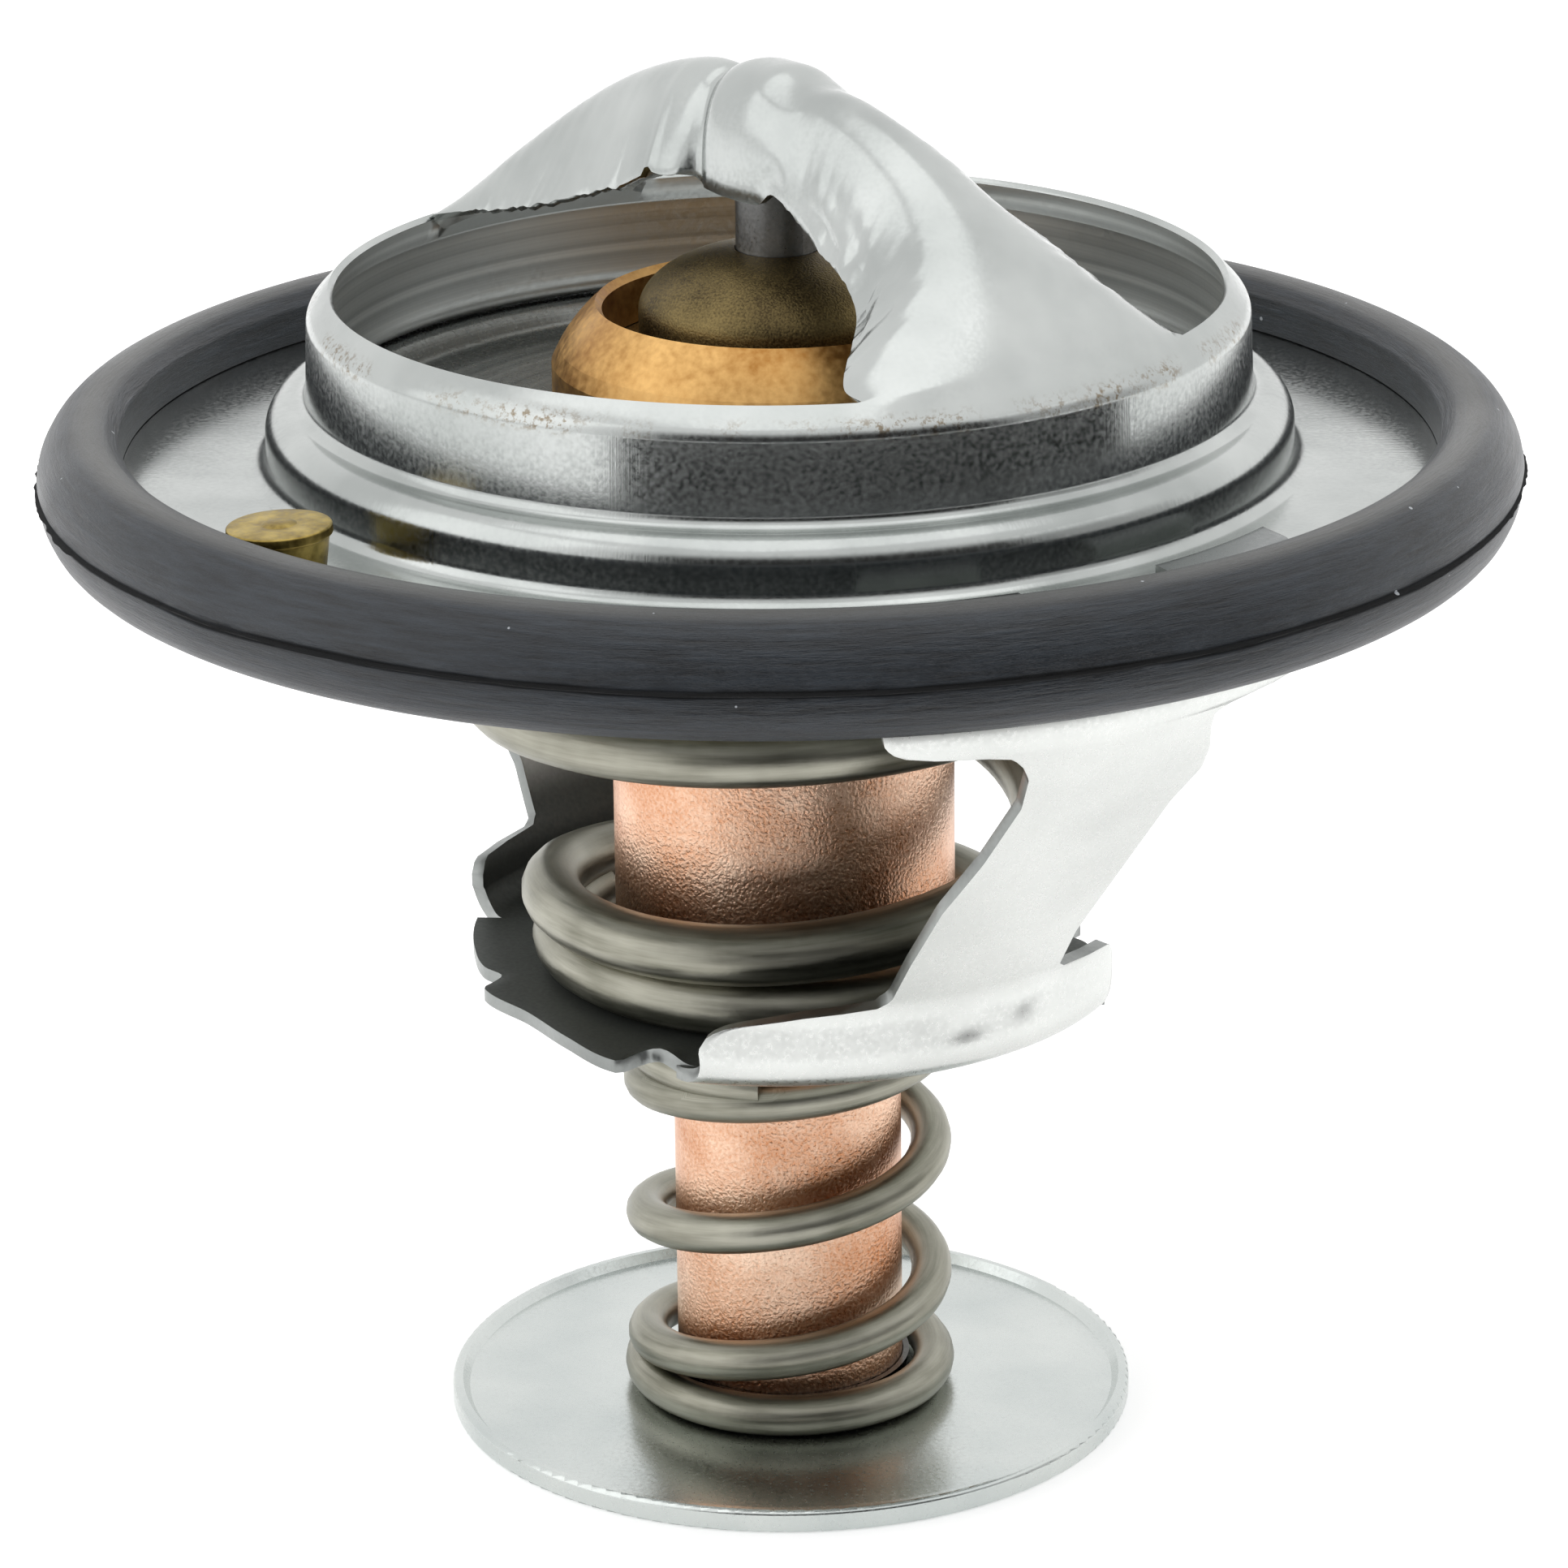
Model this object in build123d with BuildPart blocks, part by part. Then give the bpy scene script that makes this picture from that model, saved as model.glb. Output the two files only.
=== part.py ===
from build123d import *
from math import cos, pi, radians, sin, sqrt
import os

os.makedirs("parts", exist_ok=True)

# Engine thermostat. Millimetres, +Z up along the axis, origin on the axis at mid-thickness
# of the flange, X along the bridge. The valve is drawn closed, as it is when cold.

# Housing: one pressing of steel sheet
sheet = 0.8
flange_r = 31.7
step_r = 23.2
step_z = 3.3
ledge = 1.85
neck_z = 5.9
rim_inset = 1.15
rim_z = 8.4
crest_z = 18.2
flange_bend = 0.7
step_bend = 1.25
neck_bend = 0.5
shoulder_bend = 1.9

# Bridge over the two windows
foot_share = 0.4455
foot_run = 3.1
crown_half = 2.5
crown_drop = 2.1
crown_tuck = 0.9
waist_half = 2.75
waist_spread = 3.4
waist_edge_z = 14.1
knuckle_r = 3.05
knuckle_top = 18.4
knuckle_base = 12.7
knuckle_round = 2.3
slot_gap = 0.12

# Wax element
piston_r = 1.9
piston_top = 17.3
piston_base = -19.5
piston_tip = 0.5
slide_gap = 0.05
snug = 0.02
guide_r = 6.3
guide_wall_z = 7.6
guide_top = 9.9
collar_r = 10.25
collar_top = 7.5
collar_bore = 7.95
cup_r = 7.85
cup_wall = 0.8
cup_base = -26.9
cup_round = 0.9
stem_r = 5.3
stem_wall = 0.7
stem_floor = 1.3
clamp_r = 9.4
sleeve_r = 3.2
sleeve_base = -22.5
washer_r = 3.4
washer_sheet = 0.9

# Main valve and its spring
plate_inset = 1.1
plate_rim = 1.1
plate_sheet = 0.8
plate_top = 1.6
seat_gap = 0.05
main_wire = 2.8
main_turns = 5
main_first_angle = 203.6
main_end_r = 10.25
main_close = 2.6
main_rise = 10.3
coil_steps = 12

# Bracket: one pressing of thinner sheet
bracket_sheet = 0.6
bracket_turn = -5.5
floor_top = -24.0
dish_r = 16.3
dish_bend = 1.7
skirt_top = -20.8
head_place = 0.506
head_base = -5.0
arm_half = 4.9
skirt_half = 11.8
skirt_slant = 1.0
bar_half = 11.3
head_half = 9.9
tab_half_in = 3.6
tab_share = 0.247
chord_half = 13.3
chord_run = 5.9
notch_half = 11.2
arm_reach = 9.2
outline_round = 1.0
notch_round = 0.6
cup_gap = 0.45

# Bypass valve and its spring
disc_r = 16.0
disc_face = -45.3
disc_sheet = 0.7
disc_lip = 0.4
disc_edge = 0.8
disc_round = 0.25
bypass_wire = 1.9
bypass_r = 6.7
bypass_turns = 4.25
bypass_first_angle = 213.6
disc_collar_r = 5.62
disc_collar_h = 1.4
ring_r = 6.2
ring_sheet = 0.32
ring_groove_r = 4.95

# Seal
seal_wall = 1.8
seal_grip = 2.0
seal_round = 1.7
seal_crest_z = 2.6
seal_lip_z = 1.9
seal_land = 0.6

# Jiggle pin
jiggle_place = 0.441
jiggle_turn = -88.5
jiggle_head_share = 0.276
jiggle_head_top = 2.7
jiggle_head_edge = 0.4
jiggle_undercut = 0.3
jiggle_dimple = 0.12
jiggle_cone_share = 0.745
jiggle_stem_share = 0.34
jiggle_hole_share = 0.596
jiggle_ball_share = 0.723
jiggle_ball_z = -2.9

half = sheet / 2
neck_r = step_r - ledge
rim_r = neck_r - rim_inset
foot_x = rim_r - foot_run
seal_r = flange_r + seal_wall
seal_in_r = flange_r - seal_grip
seal_crest_r = seal_r - seal_round
plate_r = step_r - plate_inset
# The jiggle pin and the bracket's tabs share the flat band between the step and the seal
flange_run = flange_r - step_r
jiggle_r = step_r + flange_run * jiggle_place
jiggle_head_r = flange_run * jiggle_head_share
jiggle_cone_r = jiggle_head_r * jiggle_cone_share
jiggle_stem_r = jiggle_head_r * jiggle_stem_share
jiggle_hole_r = jiggle_head_r * jiggle_hole_share
jiggle_ball_r = jiggle_head_r * jiggle_ball_share
head_r = step_r + flange_run * head_place
tab_length = flange_run * tab_share
dome_r = (rim_r**2 + (crest_z - rim_z) ** 2) / (2 * (crest_z - rim_z))
dome_z = crest_z - dome_r
foot_half = rim_r * foot_share
crown_foot_half = foot_half - crown_tuck
plate_base = plate_top - plate_sheet
floor_base = floor_top - bracket_sheet
disc_base = disc_face - disc_sheet
seat_z = step_z - sheet


def dome_at(x, y, depth=0.0):
    return dome_z + sqrt((dome_r - depth) ** 2 - x**2 - y**2)


# ---------------------------------------------------------------- housing
# The bridge is an arched strap: a narrow crown whose sides splay out as they go down to the
# foot, where it is wide and flat.
foot_edge_z = dome_at(foot_x, foot_half)


def strap_outline(x, skin):
    along = x / foot_x
    spread = along**6
    half_w = crown_half + (crown_foot_half - crown_half) * spread
    skirt_w = waist_half + waist_spread * along**2 + (foot_half - waist_half - waist_spread) * spread
    edge = waist_edge_z + (foot_edge_z - waist_edge_z) * along
    crest = dome_at(x, 0, skin)
    foot_drop = dome_at(x, 0) - dome_at(x, half_w)
    shoulder = dome_at(x, 0) - crown_drop * (1 - spread) - foot_drop * spread - skin
    return half_w - skin, skirt_w - skin, edge, shoulder, crest


def strap_section(x):
    shoulder_y, edge_y, edge, shoulder_z, crest = strap_outline(x, 0)
    shoulder_y_in, edge_y_in, edge, shoulder_z_in, crest_in = strap_outline(x, sheet)
    with BuildSketch(Plane.YZ.offset(x)) as section:
        with BuildLine():
            Line((edge_y, edge), (shoulder_y, shoulder_z))
            ThreePointArc((shoulder_y, shoulder_z), (0, crest), (-shoulder_y, shoulder_z))
            Line((-shoulder_y, shoulder_z), (-edge_y, edge))
            Line((-edge_y, edge), (-edge_y_in, edge))
            Line((-edge_y_in, edge), (-shoulder_y_in, shoulder_z_in))
            ThreePointArc((-shoulder_y_in, shoulder_z_in), (0, crest_in), (shoulder_y_in, shoulder_z_in))
            Line((shoulder_y_in, shoulder_z_in), (edge_y_in, edge))
            Line((edge_y_in, edge), (edge_y, edge))
        make_face()
    return section.sketch


strap_stations = [foot_x * share for share in (0, 0.23, 0.47, 0.67, 0.84, 0.94, 1)]
strap_sections = [strap_section(x) for x in strap_stations]

with BuildPart() as strap:
    loft(sections=strap_sections)
    mirror(about=Plane.YZ)

# Flange, step, neck and shoulder are turned from one bent line. The dome above is a sphere.
shoulder_run = (neck_r - rim_r) / (rim_z - neck_z)
with BuildPart() as neck:
    with BuildSketch(Plane.XZ):
        with BuildLine():
            FilletPolyline(
                (flange_r, half),
                (step_r, half),
                (step_r, step_z),
                (neck_r, step_z),
                (neck_r, neck_z),
                (rim_r - shoulder_run, rim_z + 1),
                radius=(flange_bend, step_bend, neck_bend, shoulder_bend),
            )
            offset(amount=sheet, side=Side.LEFT)
        make_face()
    revolve(axis=Axis.Z)
    split(bisect_by=Plane.XY.offset(rim_z), keep=Keep.BOTTOM)

with BuildPart() as foot:
    with BuildSketch(Plane.XZ):
        with BuildLine():
            Line((0, crest_z - sheet), (0, crest_z))
            RadiusArc((0, crest_z), (rim_r, rim_z), dome_r)
            Line((rim_r, rim_z), (rim_r - sheet, rim_z))
            ThreePointArc(
                (rim_r - sheet, rim_z),
                (rim_r / 2, dome_at(rim_r / 2, 0, sheet)),
                (0, crest_z - sheet),
            )
        make_face()
    revolve(axis=Axis.Z)
    with BuildSketch(Plane.XY.offset(rim_z)):
        with Locations((foot_x + rim_r / 2, 0), (-foot_x - rim_r / 2, 0)):
            Rectangle(rim_r, 2 * foot_half)
    extrude(amount=rim_r, mode=Mode.INTERSECT)

with BuildPart() as knuckle:
    with BuildSketch(Plane.XZ):
        with BuildLine():
            Polyline(
                (0, knuckle_top),
                (0, piston_top),
                (piston_r, piston_top),
                (piston_r, knuckle_base),
                (knuckle_r, knuckle_base),
                (knuckle_r, knuckle_top - knuckle_round),
            )
            Spline(
                (knuckle_r, knuckle_top - knuckle_round),
                (knuckle_r * 0.72, knuckle_top - knuckle_round * 0.3),
                (0, knuckle_top),
                tangents=((0, 1), (-1, 0)),
            )
        make_face()
    revolve(axis=Axis.Z)

# Planes of the bracket, used for its own outlines and for its slots in the flange
arm_angle = radians(bracket_turn)
arm_axis = (cos(arm_angle), sin(arm_angle), 0)
arm_side = (-sin(arm_angle), cos(arm_angle), 0)
arm_plane = Plane((0, 0, 0), x_dir=arm_side, z_dir=arm_axis)
dish_plane = Plane((0, 0, 0), x_dir=arm_axis, z_dir=(0, 0, 1))

with BuildPart() as slots:
    with BuildSketch(Plane.XZ):
        with Locations((head_r - bracket_sheet / 2, 0)):
            Rectangle(bracket_sheet + 2 * slot_gap, 3 * sheet)
    revolve(axis=Axis.Z)
    with BuildSketch(arm_plane):
        tab_middle = (tab_half_in + head_half) / 2
        with Locations((tab_middle, 0), (-tab_middle, 0)):
            Rectangle(head_half - tab_half_in + 2 * slot_gap, 4 * sheet)
    extrude(amount=head_r + sheet, both=True, mode=Mode.INTERSECT)

jiggle_angle = radians(jiggle_turn)
jiggle_spot = (jiggle_r * cos(jiggle_angle), jiggle_r * sin(jiggle_angle))

with BuildPart() as housing:
    add(neck.part)
    add(foot.part)
    add(strap.part)
    add(knuckle.part)
    with BuildSketch(Plane.XY.offset(knuckle_base - sheet)):
        Circle(piston_r)
    extrude(amount=piston_top - knuckle_base + sheet, mode=Mode.SUBTRACT)
    add(slots.part, mode=Mode.SUBTRACT)
    with BuildSketch(Plane.XY.offset(-sheet)):
        with Locations(jiggle_spot):
            Circle(jiggle_hole_r)
    extrude(amount=2 * sheet, mode=Mode.SUBTRACT)
housing.part.label = "housing"
export_step(housing.part, "parts/housing.step")

# ---------------------------------------------------------------- seal
# Rubber ring of U section: rounded outside, a blunt lip inside, slotted for the flange.
with BuildPart() as seal:
    with BuildSketch(Plane.XZ):
        with BuildLine():
            for side in (1, -1):
                ThreePointArc(
                    (seal_in_r, side * seal_lip_z),
                    ((seal_in_r + seal_crest_r) / 2, side * (seal_crest_z - 0.12)),
                    (seal_crest_r, side * seal_crest_z),
                )
                Spline(
                    (seal_crest_r, side * seal_crest_z),
                    (seal_r - seal_round * 0.24, side * seal_crest_z * 0.55),
                    (seal_r, side * seal_land / 2),
                    tangents=((1, 0), (0, -side)),
                )
                Line((seal_in_r, side * seal_lip_z), (seal_in_r, side * (half + snug)))
                Line((seal_in_r, side * (half + snug)), (flange_r + snug, side * (half + snug)))
            Line((flange_r + snug, half + snug), (flange_r + snug, -half - snug))
            Line((seal_r, seal_land / 2), (seal_r, -seal_land / 2))
        make_face()
    revolve(axis=Axis.Z)
seal.part.label = "seal"
export_step(seal.part, "parts/seal.step")

# ---------------------------------------------------------------- jiggle pin
jiggle_plane = Plane(
    (jiggle_spot[0], jiggle_spot[1], 0),
    x_dir=(cos(jiggle_angle), sin(jiggle_angle), 0),
    z_dir=(sin(jiggle_angle), -cos(jiggle_angle), 0),
)
with BuildPart() as jiggle_pin:
    with BuildSketch(jiggle_plane):
        with BuildLine():
            Polyline(
                (0, jiggle_head_top + jiggle_dimple),
                (jiggle_head_r * 0.3, jiggle_head_top + jiggle_dimple),
                (jiggle_head_r * 0.4, jiggle_head_top),
                (jiggle_head_r, jiggle_head_top),
                (jiggle_head_r, jiggle_head_top - jiggle_head_edge),
                (jiggle_head_r - jiggle_undercut, jiggle_head_top - jiggle_head_edge),
                (jiggle_cone_r, half + snug),
                (jiggle_stem_r, half + snug),
                (jiggle_stem_r, jiggle_ball_z + sqrt(jiggle_ball_r**2 - jiggle_stem_r**2)),
            )
            ThreePointArc(
                (jiggle_stem_r, jiggle_ball_z + sqrt(jiggle_ball_r**2 - jiggle_stem_r**2)),
                (jiggle_ball_r, jiggle_ball_z),
                (0, jiggle_ball_z - jiggle_ball_r),
            )
            Line((0, jiggle_ball_z - jiggle_ball_r), (0, jiggle_head_top + jiggle_dimple))
        make_face()
    revolve(axis=Axis(jiggle_plane.origin, (0, 0, 1)))
jiggle_pin.part.label = "jiggle_pin"
export_step(jiggle_pin.part, "parts/jiggle_pin.step")

# ---------------------------------------------------------------- wax element
with BuildPart() as piston:
    with BuildSketch(Plane.XY.offset(piston_base)):
        Circle(piston_r)
    extrude(amount=piston_top - piston_base)
    chamfer(piston.faces().sort_by(Axis.Z)[0].edges(), piston_tip)
piston.part.label = "piston"
export_step(piston.part, "parts/piston.step")

# Flanges of cup, sleeve and guide are stacked in the collar and its lip is rolled over them.
stack = [plate_top, plate_top + 0.7, plate_top + 1.6, plate_top + 2.5, plate_top + 3.6]

with BuildPart() as collar:
    with BuildSketch(Plane.XZ):
        with BuildLine() as collar_line:
            Polyline(
                (cup_r + snug, stack[0]),
                (collar_r, stack[0]),
                (collar_r, stack[4] - 0.4),
                (collar_r - 0.35, stack[4] + 0.3),
            )
            ThreePointArc(
                (collar_r - 0.35, stack[4] + 0.3),
                (collar_r - 1.1, collar_top - 0.92),
                (collar_bore + 0.3, collar_top),
            )
            Polyline(
                (collar_bore + 0.3, collar_top),
                (collar_bore, collar_top - 0.3),
                (collar_bore, stack[4]),
                (clamp_r + snug, stack[4]),
                (clamp_r + snug, stack[1]),
                (cup_r + snug, stack[1]),
                (cup_r + snug, stack[0]),
            )
        make_face()
    revolve(axis=Axis.Z)
collar.part.label = "collar"
export_step(collar.part, "parts/collar.step")

stem_base = disc_base + snug
with BuildPart() as cup:
    with BuildSketch(Plane.XZ):
        with BuildLine():
            Polyline(
                (cup_r - cup_wall, stack[2]),
                (clamp_r, stack[2]),
                (clamp_r, stack[1]),
                (cup_r, stack[1]),
                (cup_r, cup_base + cup_round),
            )
            RadiusArc((cup_r, cup_base + cup_round), (cup_r - cup_round, cup_base), cup_round)
            Polyline(
                (cup_r - cup_round, cup_base),
                (stem_r, cup_base),
                (stem_r, disc_base + ring_sheet + 2 * snug),
                (ring_groove_r, disc_base + ring_sheet + 2 * snug),
                (ring_groove_r, disc_base + snug),
                (stem_r, disc_base + snug),
                (0, disc_base + snug),
                (0, disc_base + stem_floor),
                (stem_r - stem_wall, disc_base + stem_floor),
                (stem_r - stem_wall, cup_base + cup_wall),
                (cup_r - cup_wall, cup_base + cup_wall),
                (cup_r - cup_wall, stack[2]),
            )
        make_face()
    revolve(axis=Axis.Z)
cup.part.label = "cup"
export_step(cup.part, "parts/cup.step")

with BuildPart() as sleeve:
    with BuildSketch(Plane.XZ):
        with BuildLine():
            Polyline(
                (piston_r + slide_gap, stack[3] - snug),
                (clamp_r, stack[3] - snug),
                (clamp_r, stack[2] + snug),
                (sleeve_r, stack[2] + snug),
                (sleeve_r - 0.5, sleeve_base),
                (0, sleeve_base),
                (0, sleeve_base + 1),
                (piston_r + slide_gap, sleeve_base + 1),
                (piston_r + slide_gap, stack[3] - snug),
            )
        make_face()
    revolve(axis=Axis.Z)
sleeve.part.label = "sleeve"
export_step(sleeve.part, "parts/sleeve.step")

with BuildPart() as wax:
    with BuildSketch(Plane.XZ):
        with BuildLine():
            Polyline(
                (sleeve_r + slide_gap, stack[2] - snug),
                (cup_r - cup_wall - slide_gap, stack[2] - snug),
                (cup_r - cup_wall - slide_gap, cup_base + cup_wall + snug),
                (stem_r - stem_wall - slide_gap, cup_base + cup_wall + snug),
                (stem_r - stem_wall - slide_gap, disc_base + stem_floor + snug),
                (0, disc_base + stem_floor + snug),
                (0, sleeve_base - slide_gap),
                (sleeve_r + slide_gap - 0.5, sleeve_base - slide_gap),
                (sleeve_r + slide_gap, stack[2] - snug),
            )
        make_face()
    revolve(axis=Axis.Z)
wax.part.label = "wax"
export_step(wax.part, "parts/wax.step")

with BuildPart() as washer:
    with BuildSketch(Plane.XY.offset(stack[3])):
        Circle(washer_r)
        Circle(piston_r + slide_gap, mode=Mode.SUBTRACT)
    extrude(amount=washer_sheet)
washer.part.label = "washer"
export_step(washer.part, "parts/washer.step")

with BuildPart() as guide:
    with BuildSketch(Plane.XZ):
        with BuildLine():
            Polyline(
                (piston_r + slide_gap, guide_top),
                (piston_r + slide_gap, stack[3] + washer_sheet + snug),
                (washer_r + snug, stack[3] + washer_sheet + snug),
                (washer_r + snug, stack[3]),
                (clamp_r, stack[3]),
                (clamp_r, stack[4] - snug),
                (guide_r, stack[4] - snug),
                (guide_r, guide_wall_z),
            )
            Spline(
                (guide_r, guide_wall_z),
                (guide_r * 0.72, guide_wall_z + (guide_top - guide_wall_z) * 0.72),
                (piston_r + slide_gap, guide_top),
                tangents=((0, 1), (-1, 0.04)),
            )
        make_face()
    revolve(axis=Axis.Z)
guide.part.label = "guide"
export_step(guide.part, "parts/guide.step")

# ---------------------------------------------------------------- main valve
# The rim of the plate stands up a little and meets the ledge inside the step.
with BuildPart() as valve_plate:
    with BuildSketch(Plane.XZ):
        with BuildLine():
            FilletPolyline(
                (plate_r, seat_z - seat_gap),
                (plate_r - plate_rim, seat_z - seat_gap),
                (plate_r - plate_rim - 1.3, plate_top),
                (cup_r + snug, plate_top),
                radius=(1, 1),
            )
            offset(amount=plate_sheet, side=Side.LEFT)
        make_face()
    revolve(axis=Axis.Z)
valve_plate.part.label = "valve_plate"
export_step(valve_plate.part, "parts/valve_plate.step")


def climb(turn, start, end):
    return min(max((turn - start) / (end - start), 0), 1)


def ease(turn, start, end):
    share = climb(turn, start, end)
    return share * share * (3 - 2 * share)


def coil_points(turns, first_angle, radius, height):
    count = round(turns * coil_steps)
    points = []
    for i in range(count + 1):
        turn = i * turns / count
        angle = radians(first_angle) + 2 * pi * turn
        points.append((radius(turn) * cos(angle), radius(turn) * sin(angle), height(turn)))
    return points


# Both ends of each spring are closed: the last turn lies against the one before it.
def main_radius(turn):
    grown = 0.9 * ease(turn, 0.3, 1.1) + 2.4 * climb(turn, 1.3, 2.4) + 3.1 * climb(turn, 2.4, main_turns)
    return main_end_r + grown


def main_height(turn):
    step = main_rise * ease(turn, 1.25, 2.4)
    last = (plate_base - seat_gap - main_wire / 2) - main_first_z - main_close - main_rise
    return main_first_z + main_close * ease(turn, 0.4, 1.1) + step + last * climb(turn, 2.3, main_turns)


def bypass_radius(turn):
    return bypass_r + 0.25 * (1 - ease(turn, 0.5, 1.1))


def bypass_height(turn):
    low = disc_face + seat_gap + bypass_wire / 2
    high = cup_base - seat_gap - bypass_wire / 2
    return low + (high - low) * climb(turn, 0.78, 3.36)


main_first_z = floor_top + seat_gap + main_wire / 2
main_points = coil_points(main_turns, main_first_angle, main_radius, main_height)
with BuildPart() as main_spring:
    with BuildLine() as main_path:
        Spline(*main_points)
    with BuildSketch(Plane(main_path.line @ 0, z_dir=main_path.line % 0)):
        Circle(main_wire / 2)
    sweep()
main_spring.part.label = "main_spring"
export_step(main_spring.part, "parts/main_spring.step")

bypass_points = coil_points(bypass_turns, bypass_first_angle, bypass_radius, bypass_height)
with BuildPart() as bypass_spring:
    with BuildLine() as bypass_path:
        Spline(*bypass_points)
    with BuildSketch(Plane(bypass_path.line @ 0, z_dir=bypass_path.line % 0)):
        Circle(bypass_wire / 2)
    sweep()
bypass_spring.part.label = "bypass_spring"
export_step(bypass_spring.part, "parts/bypass_spring.step")

# ---------------------------------------------------------------- bracket
# A dish with turned-up skirts, two arms that flare outward, and a crossbar on each arm. Two
# tabs on each crossbar pass through the flange and are folded in over it.
tab_top = half + bracket_sheet
with BuildPart() as bracket_blank:
    with BuildSketch(Plane.XZ):
        with BuildLine():
            FilletPolyline(
                (cup_r + cup_gap, floor_base),
                (dish_r, floor_base),
                (dish_r, skirt_top),
                (head_r, head_base),
                (head_r, tab_top),
                (head_r - tab_length, tab_top),
                radius=(dish_bend, 2, 3, bracket_sheet + 0.1),
            )
            offset(amount=bracket_sheet, side=Side.LEFT)
        make_face()
    revolve(axis=Axis.Z)

with BuildPart() as bracket:
    with BuildSketch(arm_plane) as arm_outline:
        with BuildLine():
            for side in (1, -1):
                Polyline(
                    (0, floor_base - 1),
                    (side * skirt_half, floor_base - 1),
                    (side * skirt_half, floor_top + 0.4),
                    (side * (skirt_half - skirt_slant), skirt_top),
                    (side * arm_half, skirt_top),
                    (side * arm_half, head_base),
                    (side * bar_half, head_base),
                    (side * bar_half, -half - snug),
                    (side * head_half, -half - snug),
                    (side * head_half, tab_top + 1),
                    (side * tab_half_in, tab_top + 1),
                    (side * tab_half_in, -half - snug),
                    (0, -half - snug),
                )
        make_face()
        arm_corners = [v for v in arm_outline.vertices() if skirt_top - 1 < v.Z < -half - 1]
        fillet(arm_corners, outline_round)
    extrude(amount=head_r + sheet, both=True)
    with BuildSketch(dish_plane.offset(floor_base - 1)):
        Rectangle(2 * arm_reach, 2 * (head_r + sheet))
    extrude(amount=head_r + sheet + tab_top + 1 - floor_base, mode=Mode.SUBTRACT)
    with BuildSketch(dish_plane.offset(floor_base - 0.5)) as dish_outline:
        with BuildLine():
            for side in (1, -1):
                Polyline(
                    (-arm_reach - 0.2, 0),
                    (-arm_reach - 0.2, side * notch_half),
                    (-chord_run - 1, side * notch_half),
                    (-chord_run, side * chord_half),
                    (chord_run, side * chord_half),
                    (chord_run + 1, side * notch_half),
                    (arm_reach + 0.2, side * notch_half),
                    (arm_reach + 0.2, 0),
                )
        make_face()
        fillet(dish_outline.vertices().filter_by(lambda v: abs(v.X) < arm_reach), notch_round)
    extrude(amount=bracket_sheet + 1)
    add(bracket_blank.part, mode=Mode.INTERSECT)
bracket.part.label = "bracket"
export_step(bracket.part, "parts/bracket.step")

# ---------------------------------------------------------------- bypass valve
# A flat disc with a raised edge. Its collar slides on the stem, and the ring lies in a
# recess below, so that the disc stands flat.
with BuildPart() as bypass_disc:
    with BuildSketch(Plane.XZ):
        with BuildLine() as disc_line:
            bore = stem_r + slide_gap
            Polyline(
                (bore, disc_face + disc_collar_h),
                (disc_collar_r, disc_face + disc_collar_h),
                (disc_collar_r, disc_face),
                (disc_r - disc_edge, disc_face),
                (disc_r - disc_edge * 0.6, disc_face + disc_lip),
                (disc_r, disc_face + disc_lip),
                (disc_r, disc_base),
                (ring_r + 2 * slide_gap, disc_base),
                (ring_r + 2 * slide_gap, disc_base + ring_sheet + 3 * snug),
                (bore, disc_base + ring_sheet + 3 * snug),
                (bore, disc_face + disc_collar_h),
            )
        make_face()
    revolve(axis=Axis.Z)
    outer_edges = bypass_disc.edges().filter_by(GeomType.CIRCLE).sort_by(SortBy.RADIUS)[-2:]
    fillet(outer_edges, disc_round)
bypass_disc.part.label = "bypass_disc"
export_step(bypass_disc.part, "parts/bypass_disc.step")

with BuildPart() as retaining_ring:
    with BuildSketch(Plane.XY.offset(disc_base + 1.5 * snug)):
        Circle(ring_r)
        Circle(ring_groove_r + snug, mode=Mode.SUBTRACT)
    extrude(amount=ring_sheet)
retaining_ring.part.label = "retaining_ring"
export_step(retaining_ring.part, "parts/retaining_ring.step")
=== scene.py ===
from math import atan2, cos, degrees, exp, hypot, pi, radians, sin, sqrt, tan

import bmesh
import bpy
from mathutils import Matrix, Vector, noise
from mathutils.kdtree import KDTree


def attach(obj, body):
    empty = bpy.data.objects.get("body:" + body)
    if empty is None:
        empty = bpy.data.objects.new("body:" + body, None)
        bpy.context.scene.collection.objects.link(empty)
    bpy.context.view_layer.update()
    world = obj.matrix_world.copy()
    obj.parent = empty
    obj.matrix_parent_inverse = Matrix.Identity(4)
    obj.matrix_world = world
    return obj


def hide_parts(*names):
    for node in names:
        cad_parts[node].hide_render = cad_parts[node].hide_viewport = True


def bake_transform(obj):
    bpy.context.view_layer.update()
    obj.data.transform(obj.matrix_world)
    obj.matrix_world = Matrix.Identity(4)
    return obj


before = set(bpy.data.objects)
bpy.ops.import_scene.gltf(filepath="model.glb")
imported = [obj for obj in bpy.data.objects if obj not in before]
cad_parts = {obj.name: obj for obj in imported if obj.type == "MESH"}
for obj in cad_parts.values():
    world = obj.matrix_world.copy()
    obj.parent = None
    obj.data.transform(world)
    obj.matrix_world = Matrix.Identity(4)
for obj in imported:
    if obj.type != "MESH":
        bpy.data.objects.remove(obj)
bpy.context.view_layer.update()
mm = 0.001  # lengths below are in millimetres, and angles in degrees


# Small tools

def linear(hexColour):
    parts = [int(hexColour[i : i + 2], 16) / 255 for i in (1, 3, 5)]
    return tuple(c / 12.92 if c < 0.04045 else ((c + 0.055) / 1.055) ** 2.4 for c in parts) + (1,)


def smooth(low, high, value):
    share = min(max((value - low) / (high - low), 0), 1)
    return share * share * (3 - 2 * share)


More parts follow.
